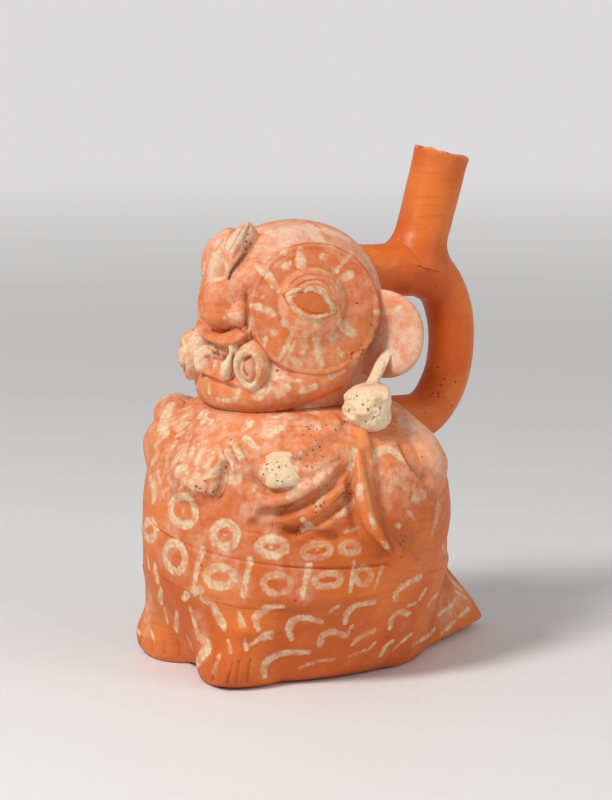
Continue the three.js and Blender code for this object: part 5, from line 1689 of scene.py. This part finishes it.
# Lines cut in with a point: feather grooves, teeth, nostrils, toes, fingers and folds. Each is a line of
# places in the photograph with its depth and half width in millimetres.
cut_lines = [
    ([(252, 243), (246, 253), (240, 262), (233, 271), (228, 279)], 1.6, 1.0),
    ([(246, 221), (238, 236), (229, 250)], 0.7, 0.7), ([(250, 226), (243, 243), (234, 258)], 0.7, 0.7),
    ([(224, 240), (215, 252)], 0.5, 0.6), ([(211, 250), (206, 268), (203, 290)], 0.5, 0.6),
    ([(213, 328), (224, 331), (236, 328), (244, 332)], 0.8, 0.8),
    ([(246, 296), (247, 312), (246, 328)], 1.0, 1.0), ([(217, 346), (218, 357)], 0.9, 0.6),
    ([(210, 359), (211, 370)], 0.9, 0.6), ([(207, 357), (224, 359)], 1.0, 0.9),
    ([(234, 355), (234, 366), (232, 377)], 1.0, 0.7), ([(217, 359), (218, 370)], 0.8, 0.6),
    ([(250, 357), (244, 361), (243, 369), (247, 376)], 0.9, 0.9),
    ([(200, 373), (212, 379), (224, 384), (236, 388)], 0.7, 0.7), ([(217, 660), (212, 681)], 0.7, 0.7),
    ([(232, 664), (227, 684)], 0.7, 0.7), ([(240, 662), (236, 684)], 0.6, 0.6),
    ([(251, 660), (247, 683)], 0.7, 0.7), ([(141, 636), (139, 648)], 0.6, 0.7),
    ([(152, 640), (152, 652)], 0.6, 0.7), ([(164, 642), (165, 654)], 0.6, 0.7),
    ([(178, 643), (180, 656)], 0.6, 0.7), ([(222, 450), (229, 470)], 0.8, 0.9),
    ([(230, 446), (238, 464)], 0.8, 0.9), ([(239, 443), (247, 460)], 0.8, 0.9),
    ([(224, 470), (222, 484), (218, 496)], 0.8, 0.9), ([(401, 443), (412, 464), (425, 479)], 0.6, 0.7),
    ([(399, 239), (408, 246), (415, 256), (420, 266)], 0.5, 0.8),
]

# Ridges and valleys too soft to be pieces of their own, with their height in millimetres and their half width
# in pixels.
raised_lines = [
    ([(223, 364), (224, 369), (223, 373)], 1.1, 7.0), ([(211, 349), (213, 352)], 0.7, 3.2),
    ([(220, 350), (222, 354)], 0.7, 3.2), ([(205, 363), (206, 365)], 0.7, 3.5),
    ([(214, 365), (215, 367)], 0.7, 3.5),
    ([(249, 350), (240, 353), (235, 362), (237, 372), (243, 381), (250, 388)], 0.9, 4.0),
    ([(252, 354), (259, 358), (262, 367), (259, 377)], 0.6, 3.5),
    ([(203, 333), (214, 340), (225, 343), (235, 341), (243, 335)], 1.0, 4.5),
    ([(200, 368), (208, 373), (217, 377), (228, 381), (238, 385)], 0.9, 4.0),
    ([(226, 334), (240, 331)], 0.8, 6.0), ([(242, 451), (234, 447), (226, 444)], 0.8, 4.0),
    ([(246, 462), (236, 456), (226, 452)], 0.8, 4.0), ([(300, 476), (320, 466), (340, 450)], 0.9, 7.0),
    ([(272, 504), (300, 494), (325, 478)], 1.0, 8.0), ([(305, 520), (325, 508), (342, 488)], 0.9, 7.0),
    ([(358, 452), (360, 480), (366, 510), (382, 542)], 0.9, 6.0),
]
valleys = [
    ([(298, 459), (312, 451), (328, 440), (345, 430)], 2.2, 9),
    ([(262, 516), (285, 511), (308, 502), (330, 486), (342, 472)], 2.2, 9),
    ([(290, 533), (312, 527), (332, 512), (346, 496)], 1.9, 9),
    ([(252, 524), (275, 526), (300, 533), (335, 536)], 1.2, 7),
    ([(255, 462), (254, 475), (260, 487), (275, 492), (296, 491)], 1.1, 6),
    ([(224, 466), (222, 484), (216, 500)], 1.8, 8),
    ([(168, 462), (172, 480), (186, 492), (205, 499)], 1.1, 7),
    ([(401, 443), (412, 464), (425, 479)], 1.2, 7),
    ([(368, 452), (372, 480), (380, 515), (396, 548)], 1.7, 9),
    ([(350, 470), (350, 500), (360, 530), (383, 556)], 1.7, 9),
]

cut_reach, valley_shade, least_move = 4.0, 0.32, 0.01
for stations, depth, half in cut_lines:
    line, _ = brushed(stations)
    which = near(line, cut_reach)
    far = distance(clay_points[which], line, np.zeros(len(line)))
    layer["cut"][which] = np.maximum(layer["cut"][which], depth * np.exp(-((far / half) ** 2)))
for lines, way in ((raised_lines, 1), (valleys, -1)):
    for stations, height, half in lines:
        line, _ = brushed(stations)
        which = near(line, half * pixel_mm + 0.5)
        far = np.clip(distance(clay_points[which], line, np.zeros(len(line))) / (half * pixel_mm), 0, 1)
        layer["rise"][which] += way * height * (1 - far**2) ** 2
        # In the valleys, painted shade darkens the clay towards the middle.
        if way < 0:
            layer["dirt_and_shade"][which] = np.maximum(layer["dirt_and_shade"][which], valley_shade * (1 - far**2))

# The cut and raised lines move the clay, and the painted layers go on to each piece.
for name, start in zip(names, starts):
    piece, points = made[name]
    mesh = piece.data
    part = slice(start, start + len(points))
    depth = layer["cut"][part] - layer["rise"][part]
    if np.abs(depth).max() > least_move:
        normals = np.empty(3 * len(points), np.float32)
        mesh.vertex_normals.foreach_get("vector", normals)
        moved = to_scene(points - normals.reshape(-1, 3) * depth[:, None])
        mesh.vertices.foreach_set("co", moved.astype(np.float32).ravel())
        mesh.update()
    for key in ("slip", "power", "haze", "dirt_and_shade", "pits", "cut"):
        values = layer[key]
        mesh.attributes.new(key, "FLOAT", "POINT").data.foreach_set("value", values[part].astype(np.float32))

# Floor: a wide pale sheet under the figure. Far off it fades into an even backdrop, so that no horizon shows.
# Only the camera sees the fading, also in a gloss or through something clear. The light on the clay is that of
# the plain sheet.
floor_mesh = bpy.data.meshes.new("floor")
reach, fade_from, fade_to = 40, 0.3, 2.5
floor_mesh.from_pydata(
    [(-reach, -reach, 0), (reach, -reach, 0), (reach, reach, 0), (-reach, reach, 0)], [], [(0, 1, 2, 3)]
)
floor = bpy.data.objects.new("floor", floor_mesh)
bpy.context.scene.collection.objects.link(floor)
pale = bpy.data.materials.new("pale_floor")
pale.use_nodes = True
floor_nodes, floor_links = pale.node_tree.nodes, pale.node_tree.links
floor_shader = floor_nodes["Principled BSDF"]
floor_shader.inputs["Base Color"].default_value = (0.8, 0.79, 0.78, 1)
from_middle = floor_nodes.new("ShaderNodeVectorMath")
from_middle.operation = "LENGTH"
floor_links.new(floor_nodes.new("ShaderNodeTexCoord").outputs["Object"], from_middle.inputs[0])
far_off = floor_nodes.new("ShaderNodeMapRange")
far_off.interpolation_type = "SMOOTHSTEP"
floor_links.new(from_middle.outputs["Value"], far_off.inputs["Value"])
far_off.inputs["From Min"].default_value = fade_from
far_off.inputs["From Max"].default_value = fade_to


def floor_math(operation, a, b):
    """One sum of two outputs."""
    node = floor_nodes.new("ShaderNodeMath")
    node.operation = operation
    floor_links.new(a, node.inputs[0])
    floor_links.new(b, node.inputs[1])
    return node.outputs[0]


rays = floor_nodes.new("ShaderNodeLightPath").outputs
seen = floor_math("MAXIMUM", rays["Is Camera Ray"], rays["Is Glossy Ray"])
seen = floor_math("MAXIMUM", seen, rays["Is Transmission Ray"])
amount = floor_math("MULTIPLY", seen, far_off.outputs[0])
backdrop = floor_nodes.new("ShaderNodeEmission")
backdrop.inputs["Color"].default_value = (0.72, 0.71, 0.71, 1)
fading = floor_nodes.new("ShaderNodeMixShader")
floor_links.new(amount, fading.inputs[0])
floor_links.new(floor_shader.outputs[0], fading.inputs[1])
floor_links.new(backdrop.outputs[0], fading.inputs[2])
floor_links.new(fading.outputs[0], floor_nodes["Material Output"].inputs["Surface"])
floor_mesh.materials.append(pale)

# Light: an even pale sky, a soft round lamp high on the left of the camera, and a wider, weaker one on its
# right. Both point at the middle of the figure.
world = bpy.data.worlds.new("world")
bpy.context.scene.world = world
world.use_nodes = True
sky = world.node_tree.nodes["Background"].inputs
sky["Color"].default_value = (1, 1, 1, 1)
sky["Strength"].default_value = 0.36


def soft_lamp(name, place, aim, size, power):
    """A round lamp at a place, turned to its aim, with its width in metres and its power in watts."""
    data = bpy.data.lights.new(name, "AREA")
    data.shape = "DISK"
    data.size = size
    data.energy = power
    lamp = bpy.data.objects.new(name, data)
    lamp.location = place
    lamp.rotation_euler = (Vector(aim) - Vector(place)).to_track_quat("-Z", "Y").to_euler()
    bpy.context.scene.collection.objects.link(lamp)


figure_middle = (0, 0, 0.1)
soft_lamp("key", (0.25, -1.05, 1.25), figure_middle, 0.45, 19)
soft_lamp("fill", (1.2, 0.7, 0.8), figure_middle, 0.9, 5)

# The end: plain colours for the picture.
scene = bpy.context.scene
scene.view_settings.view_transform = "Standard"
